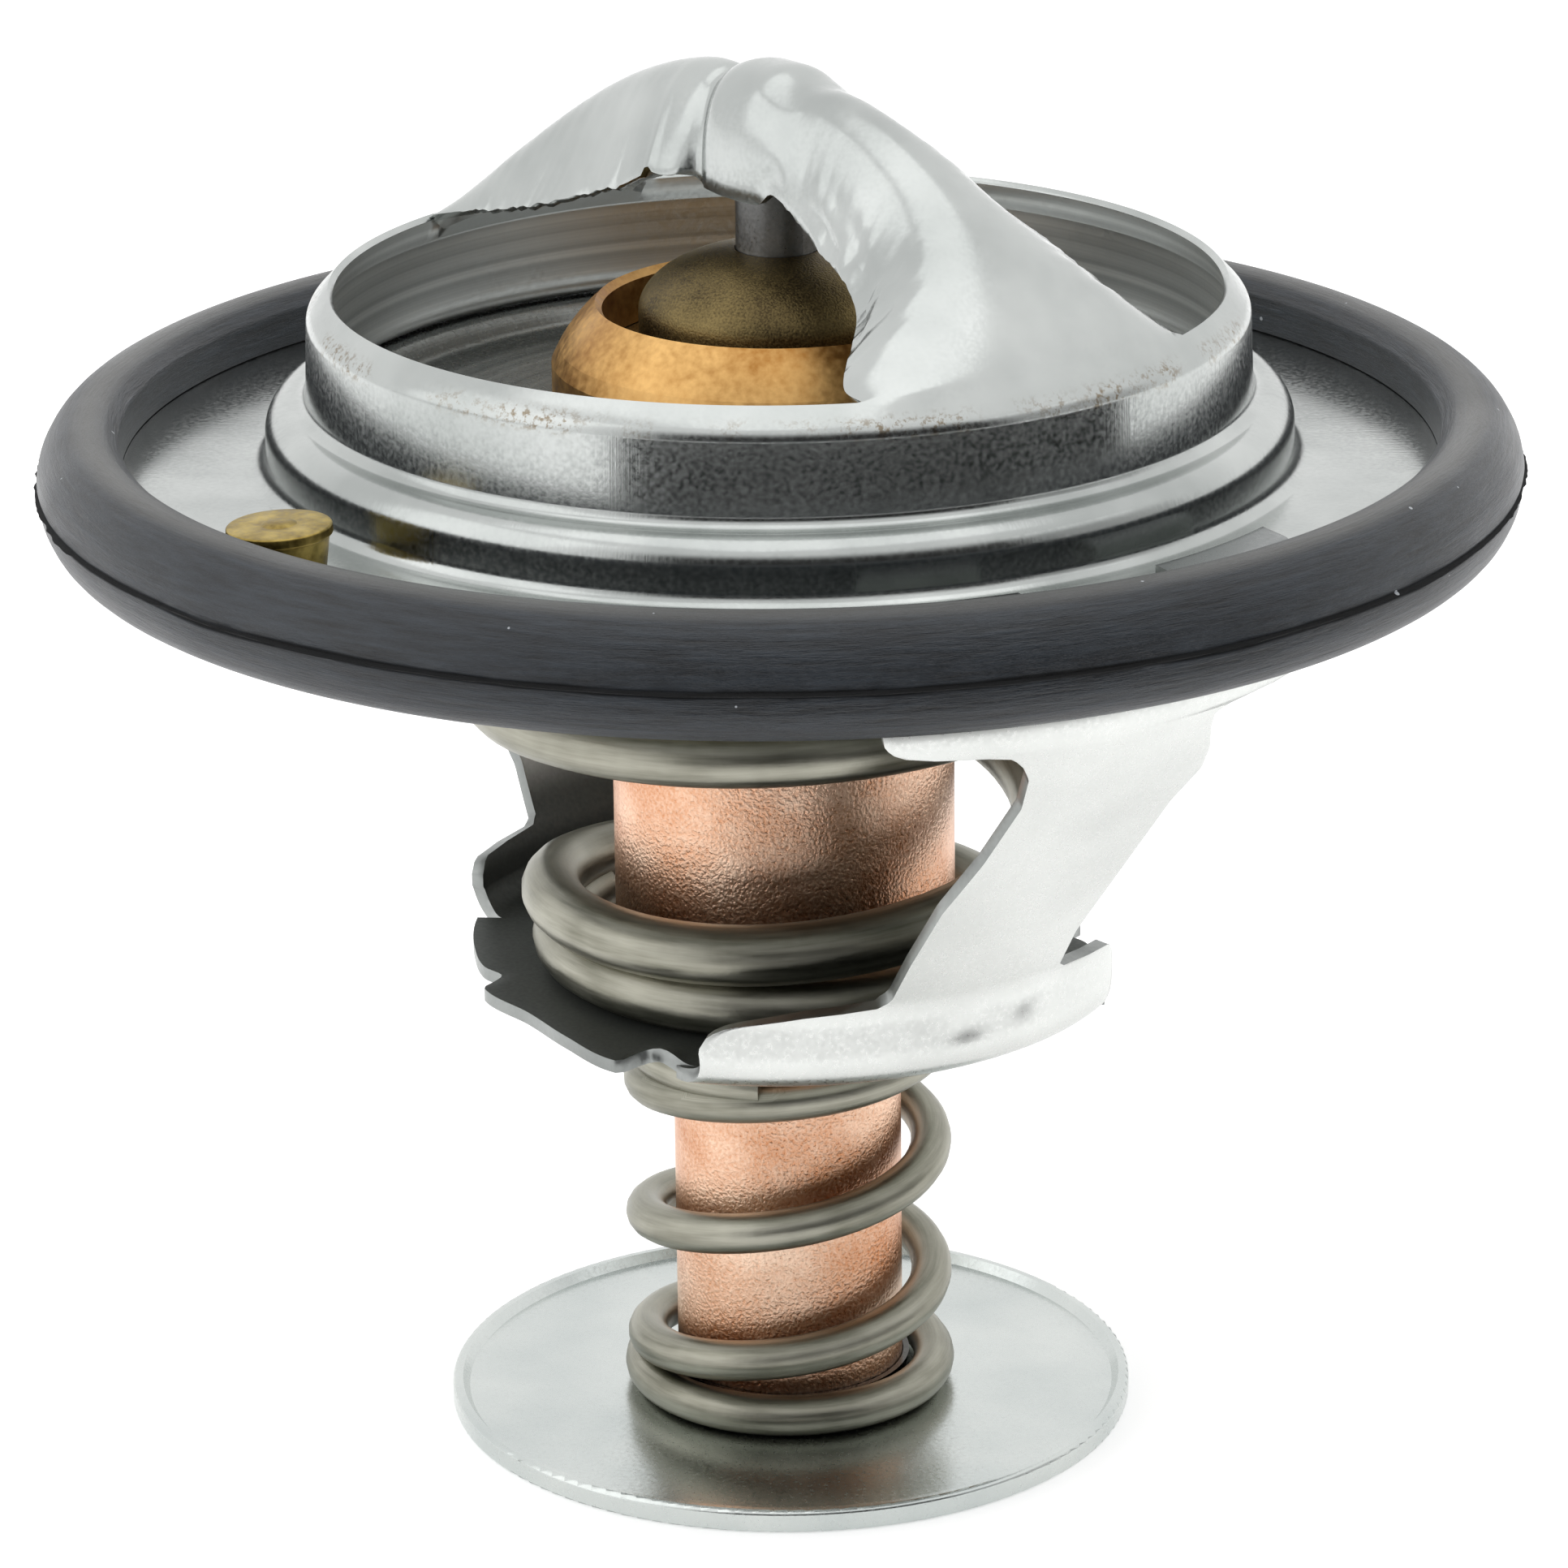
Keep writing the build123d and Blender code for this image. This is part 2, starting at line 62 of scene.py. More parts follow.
def between(table, value):  # straight lines between (place, amount) pairs
    for (x0, y0), (x1, y1) in zip(table, table[1:]):
        if value <= x1:
            return y0 + (y1 - y0) * max(value - x0, 0) / (x1 - x0)
    return table[-1][1]


def curved(table, value):  # a smooth line through (place, amount) pairs
    spots = [table[0]] + list(table) + [table[-1]]
    for i in range(1, len(spots) - 2):
        (x1, y1), (x2, y2) = spots[i], spots[i + 1]
        if value <= x2 or i == len(spots) - 3:
            t = min(max((value - x1) / (x2 - x1), 0), 1)
            slope1 = (y2 - spots[i - 1][1]) / max(x2 - spots[i - 1][0], 1e-6) * (x2 - x1)
            slope2 = (spots[i + 2][1] - y1) / max(spots[i + 2][0] - x1, 1e-6) * (x2 - x1)
            return (
                (2 * t**3 - 3 * t**2 + 1) * y1
                + (t**3 - 2 * t**2 + t) * slope1
                + (3 * t**2 - 2 * t**3) * y2
                + (t**3 - t**2) * slope2
            )


def addNode(tree, kind, settings=None, inputs=None):
    node = tree.nodes.new(kind)
    for name, value in (settings or {}).items():
        setattr(node, name, value)
    for name, value in (inputs or {}).items():
        if isinstance(value, bpy.types.NodeSocket):
            tree.links.new(value, node.inputs[name])
        else:
            node.inputs[name].default_value = value
    return node


def startMaterial(name):
    material = bpy.data.materials.new(name)
    material.use_nodes = True
    material.node_tree.nodes.clear()
    place = addNode(material.node_tree, "ShaderNodeTexCoord").outputs["Object"]
    return material, material.node_tree, place


def endMaterial(tree, inputs):
    shader = addNode(tree, "ShaderNodeBsdfPrincipled", inputs=inputs)
    addNode(tree, "ShaderNodeOutputMaterial", inputs={"Surface": shader.outputs["BSDF"]})


def makePiece(name, mesh, material, body, nodes=(), sharp=35):
    if isinstance(mesh, bmesh.types.BMesh):
        bm, mesh = mesh, bpy.data.meshes.new(name)
        bm.to_mesh(mesh)
        bm.free()
    mesh.shade_smooth()
    mesh.set_sharp_from_angle(angle=radians(sharp))
    piece = bpy.data.objects.new(name, mesh)
    bpy.context.scene.collection.objects.link(piece)
    mesh.materials.clear()
    for one in material if isinstance(material, tuple) else (material,):
        mesh.materials.append(one)
    if body:  # a piece with modifiers rides once it has them
        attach(piece, body)
    if nodes:
        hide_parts(*nodes)
    return piece


def freshRow(row, made):  # each extruded vertex starts in the place of the one it came from
    fresh = {tuple(round(c * 1e8) for c in v.co): v for v in made if isinstance(v, bmesh.types.BMVert)}
    return [fresh.get(tuple(round(c * 1e8) for c in v.co)) if v else None for v in row]


# A solid or skin turned from its outline of (radius, height, radius of the corner)
def turned(outline, steps, closed=True):
    bm = bmesh.new()
    verts = [bm.verts.new((r * mm, 0, z * mm)) for r, z, bend in outline]
    ends = list(zip(verts, verts[1:])) + ([(verts[-1], verts[0])] if closed else [])
    for a, b in ends:
        bm.edges.new((a, b))
    count = len(outline)
    for i, (r, z, bend) in enumerate(outline):
        if bend:
            before, here, after = (Vector(outline[j % count][:2]) for j in (i - 1, i, i + 1))
            turn = (here - before).angle(after - here)
            bmesh.ops.bevel(
                bm,
                geom=[verts[i]],
                offset=bend * tan(turn / 2) * mm,
                offset_type="OFFSET",
                segments=max(3, round(turn / 0.16)),
                profile=0.5,
                affect="VERTICES",
                material=-1,
            )
    bmesh.ops.spin(
        bm,
        geom=bm.verts[:] + bm.edges[:],
        cent=(0, 0, 0),
        axis=(0, 0, 1),
        angle=2 * pi,
        steps=steps,
        use_merge=True,
    )
    bmesh.ops.remove_doubles(bm, verts=bm.verts[:], dist=1e-7)
    bmesh.ops.recalc_face_normals(bm, faces=bm.faces[:])
    return bm


# Materials


# Sheet steel: grain too fine to see is drawn 0.22 mm wide, over slow changes of grey
def zincSheet(name, colours, roughness, ringed=False, stained=False, paintedShadeZone=None, grain=0.004):
    material, tree, place = startMaterial(name)
    grit = addNode(
        tree, "ShaderNodeTexNoise", inputs={"Vector": place, "Scale": 1 / (0.22 * mm), "Detail": 2}
    )
    apart = addNode(tree, "ShaderNodeSeparateXYZ", inputs={"Vector": place})
    if ringed:  # rings left by the drawing tool
        flat = addNode(
            tree, "ShaderNodeCombineXYZ", inputs={"X": apart.outputs["X"], "Y": apart.outputs["Y"]}
        )
        away = addNode(tree, "ShaderNodeVectorMath", {"operation": "LENGTH"}, {0: flat.outputs["Vector"]})
        along = addNode(
            tree, "ShaderNodeMath", {"operation": "ADD"}, {0: away.outputs["Value"], 1: apart.outputs["Z"]}
        )
        shade = addNode(
            tree,
            "ShaderNodeTexNoise",
            {"noise_dimensions": "1D"},
            {"W": along.outputs["Value"], "Scale": 1 / (0.7 * mm), "Detail": 3, "Roughness": 0.6},
        )
    else:
        shade = addNode(
            tree, "ShaderNodeTexNoise", inputs={"Vector": place, "Scale": 1 / (7 * mm), "Detail": 3}
        )
    spread = addNode(tree, "ShaderNodeMapRange", inputs={0: shade.outputs["Fac"], 1: 0.3, 2: 0.7})
    tone = addNode(
        tree,
        "ShaderNodeMix",
        {"data_type": "RGBA"},
        {"Factor": spread.outputs["Result"], "A": linear(colours[0]), "B": linear(colours[1])},
    )
    colour = tone.outputs["Result"]
    rough = addNode(
        tree,
        "ShaderNodeMapRange",
        inputs={0: grit.outputs["Fac"], 1: 0.3, 2: 0.7, 3: roughness - 0.05, 4: roughness + 0.07},
    )
    bump = addNode(tree, "ShaderNodeBump", inputs={"Height": grit.outputs["Fac"], "Distance": grain * mm})
    if stained:
        # Draw marks run up the wall, so they only change with the angle round the axis
        around = addNode(
            tree,
            "ShaderNodeMath",
            {"operation": "ARCTAN2"},
            {0: apart.outputs["Y"], 1: apart.outputs["X"]},
        )
        lines = addNode(
            tree,
            "ShaderNodeTexNoise",
            {"noise_dimensions": "1D"},
            {"W": around.outputs["Value"], "Scale": 90, "Detail": 3, "Roughness": 0.65},
        )
        wall = addNode(
            tree,
            "ShaderNodeMapRange",
            {"interpolation_type": "SMOOTHSTEP"},
            {0: apart.outputs["Z"], 1: 7.4 * mm, 2: 6.6 * mm},
        )
        drawMarks = addNode(
            tree,
            "ShaderNodeMath",
            {"operation": "MULTIPLY"},
            {0: lines.outputs["Fac"], 1: wall.outputs["Result"]},
        )
        bump = addNode(
            tree,
            "ShaderNodeBump",
            inputs={
                "Height": drawMarks.outputs["Value"],
                "Distance": 0.004 * mm,
                "Normal": bump.outputs["Normal"],
            },
        )
        # Brown specks have gathered in patches round the bend at the top of the wall
        specks = addNode(
            tree,
            "ShaderNodeTexNoise",
            inputs={"Vector": place, "Scale": 1 / (0.36 * mm), "Detail": 4, "Roughness": 0.75},
        )
        patches = addNode(
            tree, "ShaderNodeTexNoise", inputs={"Vector": place, "Scale": 1 / (5 * mm), "Detail": 2}
        )
        low = addNode(
            tree,
            "ShaderNodeMapRange",
            {"interpolation_type": "SMOOTHSTEP"},
            {0: apart.outputs["Z"], 1: 6.7 * mm, 2: 7.2 * mm},
        )
        high = addNode(
            tree,
            "ShaderNodeMapRange",
            {"interpolation_type": "SMOOTHSTEP"},
            {0: apart.outputs["Z"], 1: 7.5 * mm, 2: 8.1 * mm, 3: 1, 4: 0},
        )
        band = addNode(
            tree,
            "ShaderNodeMath",
            {"operation": "MULTIPLY"},
            {0: low.outputs["Result"], 1: high.outputs["Result"]},
        )
        some = addNode(tree, "ShaderNodeMapRange", inputs={0: patches.outputs["Fac"], 1: 0.42, 2: 0.58})
        where = addNode(
            tree,
            "ShaderNodeMath",
            {"operation": "MULTIPLY"},
            {0: band.outputs["Value"], 1: some.outputs["Result"]},
        )
        cut = addNode(tree, "ShaderNodeMapRange", inputs={0: specks.outputs["Fac"], 1: 0.5, 2: 0.62, 4: 0.85})
        dirt = addNode(
            tree,
            "ShaderNodeMath",
            {"operation": "MULTIPLY"},
            {0: where.outputs["Value"], 1: cut.outputs["Result"]},
        )
        stain = addNode(
            tree,
            "ShaderNodeMix",
            {"data_type": "RGBA"},
            {"Factor": dirt.outputs["Value"], "A": colour, "B": linear("#7d6d54")},
        )
        colour = stain.outputs["Result"]
    # Painted shade: past a given height the colour turns to a darker one that stands for shade
    if paintedShadeZone:  # another colour from one height to the next
        over = addNode(
            tree,
            "ShaderNodeMapRange",
            {"interpolation_type": "SMOOTHSTEP"},
            {0: apart.outputs["Z"], 1: paintedShadeZone[0] * mm, 2: paintedShadeZone[1] * mm},
        )
        paintedShade = addNode(
            tree,
            "ShaderNodeMix",
            {"data_type": "RGBA"},
            {"Factor": over.outputs["Result"], "A": colour, "B": linear(paintedShadeZone[2])},
        )
        colour = paintedShade.outputs["Result"]
    endMaterial(
        tree,
        {
            "Base Color": colour,
            "Metallic": 1.0,
            "Roughness": rough.outputs["Result"],
            "Normal": bump.outputs["Normal"],
        },
    )
    return material


# Rubber: streaks run round the ring, dust sits on it, and it is shiny in places
def mouldedRubber(name):
    material, tree, place = startMaterial(name)
    apart = addNode(tree, "ShaderNodeSeparateXYZ", inputs={"Vector": place})
    around = addNode(
        tree,
        "ShaderNodeMath",
        {"operation": "ARCTAN2"},
        {0: apart.outputs["Y"], 1: apart.outputs["X"]},
    )
    slow = addNode(
        tree, "ShaderNodeMath", {"operation": "MULTIPLY"}, {0: around.outputs["Value"], 1: 3 * mm}
    )
    away = addNode(tree, "ShaderNodeVectorMath", {"operation": "LENGTH"}, {0: place})
    ringPlace = addNode(
        tree,
        "ShaderNodeCombineXYZ",
        inputs={"X": slow.outputs["Value"], "Y": away.outputs["Value"], "Z": apart.outputs["Z"]},
    )
    streaks = addNode(
        tree,
        "ShaderNodeTexNoise",
        inputs={
            "Vector": ringPlace.outputs["Vector"],
            "Scale": 1 / (0.3 * mm),
            "Detail": 5,
            "Roughness": 0.75,
        },
    )
    clouds = addNode(tree, "ShaderNodeTexNoise", inputs={"Vector": place, "Scale": 1 / (9 * mm), "Detail": 2})
    dust = addNode(
        tree,
        "ShaderNodeTexVoronoi",
        inputs={"Vector": place, "Scale": 1 / (1.3 * mm), "Randomness": 1.0},
    )
    pick = addNode(tree, "ShaderNodeSeparateColor", inputs={"Color": dust.outputs["Color"]})
    size = addNode(
        tree, "ShaderNodeMapRange", inputs={0: pick.outputs["Red"], 1: 0.7, 2: 1.0, 3: 0, 4: 0.11}
    )
    speck = addNode(
        tree,
        "ShaderNodeMath",
        {"operation": "LESS_THAN"},
        {0: dust.outputs["Distance"], 1: size.outputs["Result"]},
    )
    spread = addNode(tree, "ShaderNodeMapRange", inputs={0: streaks.outputs["Fac"], 1: 0.3, 2: 0.7})
    tone = addNode(
        tree,
        "ShaderNodeMix",
        {"data_type": "RGBA"},
        {"Factor": spread.outputs["Result"], "A": linear("#07090d"), "B": linear("#2d343c")},
    )
    # A painted highlight makes the top of the lip grey, and the rubber is darkest where the mould halves met
    lipHighlight = addNode(
        tree,
        "ShaderNodeMapRange",
        {"interpolation_type": "SMOOTHSTEP"},
        {0: apart.outputs["Z"], 1: 2.55 * mm, 2: 3.0 * mm, 3: 0, 4: 0.7},
    )
    lighterBand = addNode(
        tree,
        "ShaderNodeMix",
        {"data_type": "RGBA"},
        {"Factor": lipHighlight.outputs["Result"], "A": tone.outputs["Result"], "B": linear("#6b6a66")},
    )
    wander = addNode(
        tree,
        "ShaderNodeMath",
        {"operation": "MULTIPLY_ADD"},
        {0: clouds.outputs["Fac"], 1: 0.5 * mm, 2: apart.outputs["Z"]},
    )
    offset = addNode(
        tree, "ShaderNodeMath", {"operation": "SUBTRACT"}, {0: wander.outputs["Value"], 1: 0.25 * mm}
    )
    height = addNode(tree, "ShaderNodeMath", {"operation": "ABSOLUTE"}, {0: offset.outputs["Value"]})
    line = addNode(
        tree,
        "ShaderNodeMapRange",
        {"interpolation_type": "SMOOTHSTEP"},
        {0: height.outputs["Value"], 1: 0.26 * mm, 2: 0.08 * mm, 3: 0, 4: 0.9},
    )
    split = addNode(
        tree,
        "ShaderNodeMix",
        {"data_type": "RGBA"},
        {"Factor": line.outputs["Result"], "A": lighterBand.outputs["Result"], "B": linear("#0d0d0d")},
    )
    dusty = addNode(
        tree,
        "ShaderNodeMix",
        {"data_type": "RGBA"},
        {"Factor": speck.outputs["Value"], "A": split.outputs["Result"], "B": linear("#a9adb2")},
    )
    rough = addNode(
        tree, "ShaderNodeMapRange", inputs={0: clouds.outputs["Fac"], 1: 0.3, 2: 0.7, 3: 0.28, 4: 0.42}
    )
    dull = addNode(
        tree, "ShaderNodeMath", {"operation": "ADD"}, {0: rough.outputs["Result"], 1: line.outputs["Result"]}
    )
    bump = addNode(
        tree, "ShaderNodeBump", inputs={"Height": streaks.outputs["Fac"], "Distance": 0.1 * mm}
    )
    endMaterial(
        tree,
        {
            "Base Color": dusty.outputs["Result"],
            "Roughness": dull.outputs["Value"],
            "Normal": bump.outputs["Normal"],
            "Specular IOR Level": 0.5,
        },
    )
    return material


# A solid with a grain of its own size, over blotches: cast, turned or blasted metal, or a plastic
def grainedFinish(name, colours, roughness, grainSize, grainDepth, blotch=6, metallic=1.0):
    material, tree, place = startMaterial(name)
    grain = addNode(
        tree, "ShaderNodeTexNoise", inputs={"Vector": place, "Scale": 1 / (grainSize * mm), "Detail": 2}
    )
    clouds = addNode(
        tree, "ShaderNodeTexNoise", inputs={"Vector": place, "Scale": 1 / (blotch * mm), "Detail": 3}
    )
    both = addNode(
        tree,
        "ShaderNodeMath",
        {"operation": "MULTIPLY_ADD"},
        {0: grain.outputs["Fac"], 1: 0.5, 2: clouds.outputs["Fac"]},
    )
    share = addNode(tree, "ShaderNodeMapRange", inputs={0: both.outputs["Value"], 1: 0.55, 2: 0.95})
    tone = addNode(
        tree,
        "ShaderNodeMix",
        {"data_type": "RGBA"},
        {"Factor": share.outputs["Result"], "A": linear(colours[0]), "B": linear(colours[1])},
    )
    rough = addNode(
        tree,
        "ShaderNodeMapRange",
        inputs={0: grain.outputs["Fac"], 1: 0.3, 2: 0.7, 3: roughness - 0.06, 4: roughness + 0.08},
    )
    bump = addNode(
        tree, "ShaderNodeBump", inputs={"Height": grain.outputs["Fac"], "Distance": grainDepth * mm}
    )
    endMaterial(
        tree,
        {
            "Base Color": tone.outputs["Result"],
            "Metallic": metallic,
            "Roughness": rough.outputs["Result"],
            "Normal": bump.outputs["Normal"],
        },
    )
    return material


# Wire: streaks drawn out along it
def drawnWire(name):
    material, tree, place = startMaterial(name)
    along = addNode(tree, "ShaderNodeAttribute", {"attribute_name": "wirePlace"})
    streaks = addNode(
        tree,
        "ShaderNodeTexNoise",
        inputs={"Vector": along.outputs["Vector"], "Scale": 1 / (0.4 * mm), "Detail": 3, "Roughness": 0.6},
    )
    clouds = addNode(tree, "ShaderNodeTexNoise", inputs={"Vector": place, "Scale": 1 / (4 * mm), "Detail": 3})
    grit = addNode(tree, "ShaderNodeTexNoise", inputs={"Vector": place, "Scale": 1 / (0.2 * mm), "Detail": 1})
    both = addNode(
        tree,
        "ShaderNodeMath",
        {"operation": "MULTIPLY_ADD"},
        {0: clouds.outputs["Fac"], 1: 0.7, 2: streaks.outputs["Fac"]},
    )
    share = addNode(tree, "ShaderNodeMapRange", inputs={0: both.outputs["Value"], 1: 0.6, 2: 1.1})
    tone = addNode(
        tree,
        "ShaderNodeMix",
        {"data_type": "RGBA"},
        {"Factor": share.outputs["Result"], "A": linear("#7b7a6d"), "B": linear("#b0aea1")},
    )
    rough = addNode(
        tree, "ShaderNodeMapRange", inputs={0: streaks.outputs["Fac"], 1: 0.3, 2: 0.7, 3: 0.3, 4: 0.46}
    )
    bump = addNode(tree, "ShaderNodeBump", inputs={"Height": grit.outputs["Fac"], "Distance": 0.005 * mm})
    endMaterial(
        tree,
        {
            "Base Color": tone.outputs["Result"],
            "Metallic": 1.0,
            "Roughness": rough.outputs["Result"],
            "Normal": bump.outputs["Normal"],
        },
    )
    return material


# Zinc-plated steel, pressed: satin and bright, drawn streaks up the wall, brown specks on the bend
pressedZinc = zincSheet("zincPlatedPressing", ("#c8cbc9", "#aaaeac"), 0.2, stained=True, grain=0.003)
# The same sheet on its inner side: duller, with rings from the drawing tool
insideZinc = zincSheet("zincPlatedInside", ("#b0b3b2", "#dcdedc"), 0.34, ringed=True)
# Zinc-plated steel, coined: rings of light and dark grey round the valve
plateZinc = zincSheet("zincPlatedPlate", ("#a9acab", "#d6d8d6"), 0.24, ringed=True)
# Bright rolled steel, bent: near white and even, with painted shade greying the tab tops in the hollow
# between the neck step and the seal
brightSheet = zincSheet(
    "brightRolledSheet", ("#e4e6e3", "#d5d7d4"), 0.3, paintedShadeZone=(0.2, 0.4, "#8b8e8e"), grain=0.0008
)
# The same sheet on its inner side: matt, with painted shade darkening it down in the dish
insideSheet = zincSheet("brightSheetInside", ("#f0f2f0", "#e0e2e0"), 0.62, paintedShadeZone=(-17.5, -20.5, "#666966"))
# Sheared steel edge: mid grey and dull, so it draws a line round the sheet
cutSheet = zincSheet("shearedSheetEdge", ("#858886", "#a3a6a4"), 0.36)
# Zinc-plated steel, turned up at the rim: greenish grey, mirrors the coil above, with painted shade darkening
# the collar inside the coil
discZinc = zincSheet("dullZincDisc", ("#c4cac8", "#d5d9d6"), 0.22, paintedShadeZone=(-44.75, -44.6, "#45433f"))
# Black rubber, moulded: blue-black with a painted highlight on the lip, dust, and a dark line where the mould
# halves met
rubber = mouldedRubber("mouldedRubber")
# Copper, grit-blasted: pink and sparkling, brown where it turns away from the light
copper = grainedFinish("gritBlastedCopper", ("#c8875c", "#fedcc2"), 0.33, 0.16, 0.055)
# Brass, turned: warm gold with faint brown clouds
goldBrass = grainedFinish("turnedBrass", ("#a0713a", "#e4b876"), 0.4, 0.4, 0.008)
# Brass, tarnished: olive brown with a fine matt grain
oliveBrass = grainedFinish("tarnishedBrass", ("#443a28", "#9d8a5c"), 0.46, 0.1, 0.022)
# Brass at the foot of the dome: a lighter, yellow band
yellowBandBrass = grainedFinish("yellowBandBrass", ("#8a7440", "#b5995a"), 0.42, 0.13, 0.01)
# Brass, coined: dull yellow with small dark blotches
pinBrass = grainedFinish("coinedBrass", ("#806c36", "#c2ab63"), 0.4, 0.3, 0.01, blotch=1.3)
# Steel, ground: plain mid grey with soft highlights
groundSteel = grainedFinish("groundSteel", ("#7d7e7e", "#979898"), 0.33, 0.15, 0.004)
# Spring steel, oiled: nearly black and shiny
darkSteel = grainedFinish("oiledSteel", ("#4a4644", "#66615e"), 0.22, 0.3, 0.003)
# Spring steel, drawn: olive grey, streaked along the wire
wire = drawnWire("drawnSpringWire")
# Rubber, moulded: matt black
sleeveRubber = grainedFinish(
    "mouldedSleeveRubber", ("#1c1c1c", "#242424"), 0.6, 0.3, 0.005, metallic=0.0
)
# Plastic, turned: matt ivory
washerPlastic = grainedFinish(
    "turnedWasherPlastic", ("#d9d6cc", "#e6e3da"), 0.4, 0.3, 0.003, metallic=0.0
)
# Wax, filled with copper powder: matt brown
filledWax = grainedFinish("copperFilledWax", ("#8f6546", "#b98c66"), 0.6, 0.05, 0.002, metallic=0.0)
print("materials done")


# Housing: flange, step, neck and bridge are one sheet, so they are one skin with a thickness

housingSizes = {
    "sheet": 0.8,
    "outline": [
        (31.7, 0.4, 0),
        (23.2, 0.4, 0.7),
        (23.2, 3.3, 1.25),
        (21.35, 3.3, 0.55),
        (21.2, 7.35, 0.9),
        (20.2, 8.4, 0),
    ],
    "steps": 240,
    "footSteps": 17,  # to each side of the middle of a foot
    "footTurn": -1.5,
    "farFoot": 17.0,  # the far foot is the narrow one, so the steps there are drawn together
    "crestZ": 18.2,
    "rimZ": 8.4,
    "rimR": 20.2,
    # Cut edges by (arm, side): distance along the bridge, half-width, height
    "edges": {
        (1, -1): [
            (0, 3.1, 12.75), (1.5, 3.05, 12.75), (2.6, 2.95, 12.85), (3.4, 2.95, 13.45), (4.4, 3.0, 13.3),
            (5.6, 3.02, 12.65), (7.7, 3.5, 11.9), (10.5, 4.3, 11.35), (12.7, 5.2, 10.5), (14.9, 6.7, 9.65),
            (16.9, 8.1, 8.95), (18.2, 8.75, 8.5), (20.2, 9.0, 8.4),
        ],
        (1, 1): [
            (0, 3.1, 12.75), (2, 3.05, 12.8), (4.4, 3.1, 13.4), (7, 3.3, 13.6), (9.7, 3.7, 13.9),
            (12, 4.2, 12.9), (14.5, 5.2, 11.65), (15.8, 6.0, 10.7), (17, 6.9, 9.75), (18.0, 7.35, 9.3),
            (20.2, 8.0, 8.4),
        ],
        (-1, -1): [
            (0, 3.1, 12.75), (1.6, 2.85, 12.75), (2.6, 2.2, 12.6), (2.95, 2.3, 12.9), (3.85, 3.1, 12.95),
            (5.7, 3.4, 12.55), (7.06, 3.7, 11.87), (8.8, 4.0, 11.3), (10.6, 4.4, 10.67), (12.7, 4.7, 10.0),
            (15.2, 5.0, 9.4), (16.8, 5.2, 9.15), (18.5, 5.5, 8.8), (20.2, 5.9, 8.4),
        ],
        (-1, 1): [
            (0, 3.1, 12.75), (2, 3.0, 12.75), (4.4, 3.1, 13.2), (7.7, 3.6, 12.3), (10.5, 4.1, 11.4),
            (12.7, 4.5, 10.6), (15, 5.0, 9.8), (17, 5.3, 9.2), (18.5, 5.5, 8.8), (20.2, 5.9, 8.4),
        ],
    },
    # Height of the crest over the dome, by distance along each arm
    "crest": {
        1: [(0, 0.2), (1.2, 0.2), (2.3, -0.12), (3.2, -0.22), (4.5, -0.05), (6, 0), (21, 0)],
        -1: [(0, 0.2), (1.2, 0.16), (2.2, -0.15), (2.95, -0.62), (3.7, -0.3), (5.0, -0.05), (7, 0), (21, 0)],
    },
    "crownHalf": 2.35,
    "rowStep": 0.25,
    "torn": 0.16,  # how far the cut edges wander up and down
    "press": {"place": (2.5, -2.1, 13.75), "wide": 0.62, "tall": 1.25, "depth": 0.16},
    "wrinkle": {"from": 5.5, "to": 16, "depth": 0.16},
    "shearedShare": 0.4,  # what the press leaves of the sheet where it shears the windows out
    "edgeRadius": 0.06,
}
h = housingSizes
domeR = (h["rimR"] ** 2 + (h["crestZ"] - h["rimZ"]) ** 2) / (2 * (h["crestZ"] - h["rimZ"]))
domeZ = h["crestZ"] - domeR
rimArc = radians(h["footSteps"] * 360 / h["steps"])


# Where an arm's sheet is cut, at a distance q along the bridge: half-width and height
def bridgeEdge(arm, side, q):
    table = h["edges"][arm, side]
    halfW = curved([p[:2] for p in table], q)
    z = curved([(p[0], p[2]) for p in table], q)
    torn = noise.noise(Vector((q * 1.6, arm * 7, side * 3))) + 0.6 * noise.noise(Vector((q * 4.5, side, arm)))
    keep = smooth(3, 5, q) * (1 - smooth(16, 19, q))
    if (arm, side) == (-1, -1):  # the sheet has torn here
        z += 0.5 * exp(-(((q - 5.35) / 0.28) ** 2))
    return halfW, z + h["torn"] * torn * keep


# Across a section, -1 and 1 are the cut edges and 0 is the crest: rounded at the crown, flatter at a foot
def bridgePoint(arm, q, across):
    side = 1 if across >= 0 else -1
    u = abs(across)
    halfW, edgeZ = bridgeEdge(arm, side, q)
    top = domeZ + sqrt(domeR**2 - q**2) + curved(h["crest"][arm], q)
    flat = smooth(10, 18.5, q)
    full = 1 - smooth(2.2, 4.4, q) if arm > 0 else 1 - smooth(1.0, 3.2, q)
    crown = h["crownHalf"] + 0.5 * full
    nearW = 0.85 * crown * (1 - flat) + 0.5 * halfW * flat
    farW = min(crown * 1.1, halfW + 0.1 * full) * (1 - flat) + 0.8 * halfW * flat
    farZ = edgeZ + (top - edgeZ) * (0.42 + 0.23 * flat + 0.25 * full)
    a, b, c = 3 * (1 - u) ** 2 * u, 3 * (1 - u) * u * u, u**3
    y = a * nearW + b * farW + c * halfW
    z = (1 - u) ** 3 * top + a * top + b * farZ + c * edgeZ
    back = h["rimR"] * (1 - cos(rimArc if arm > 0 else radians(h["farFoot"]))) * smooth(12, 20.2, q)
    return Vector((arm * (q - back * u * u), side * y, z)) * mm


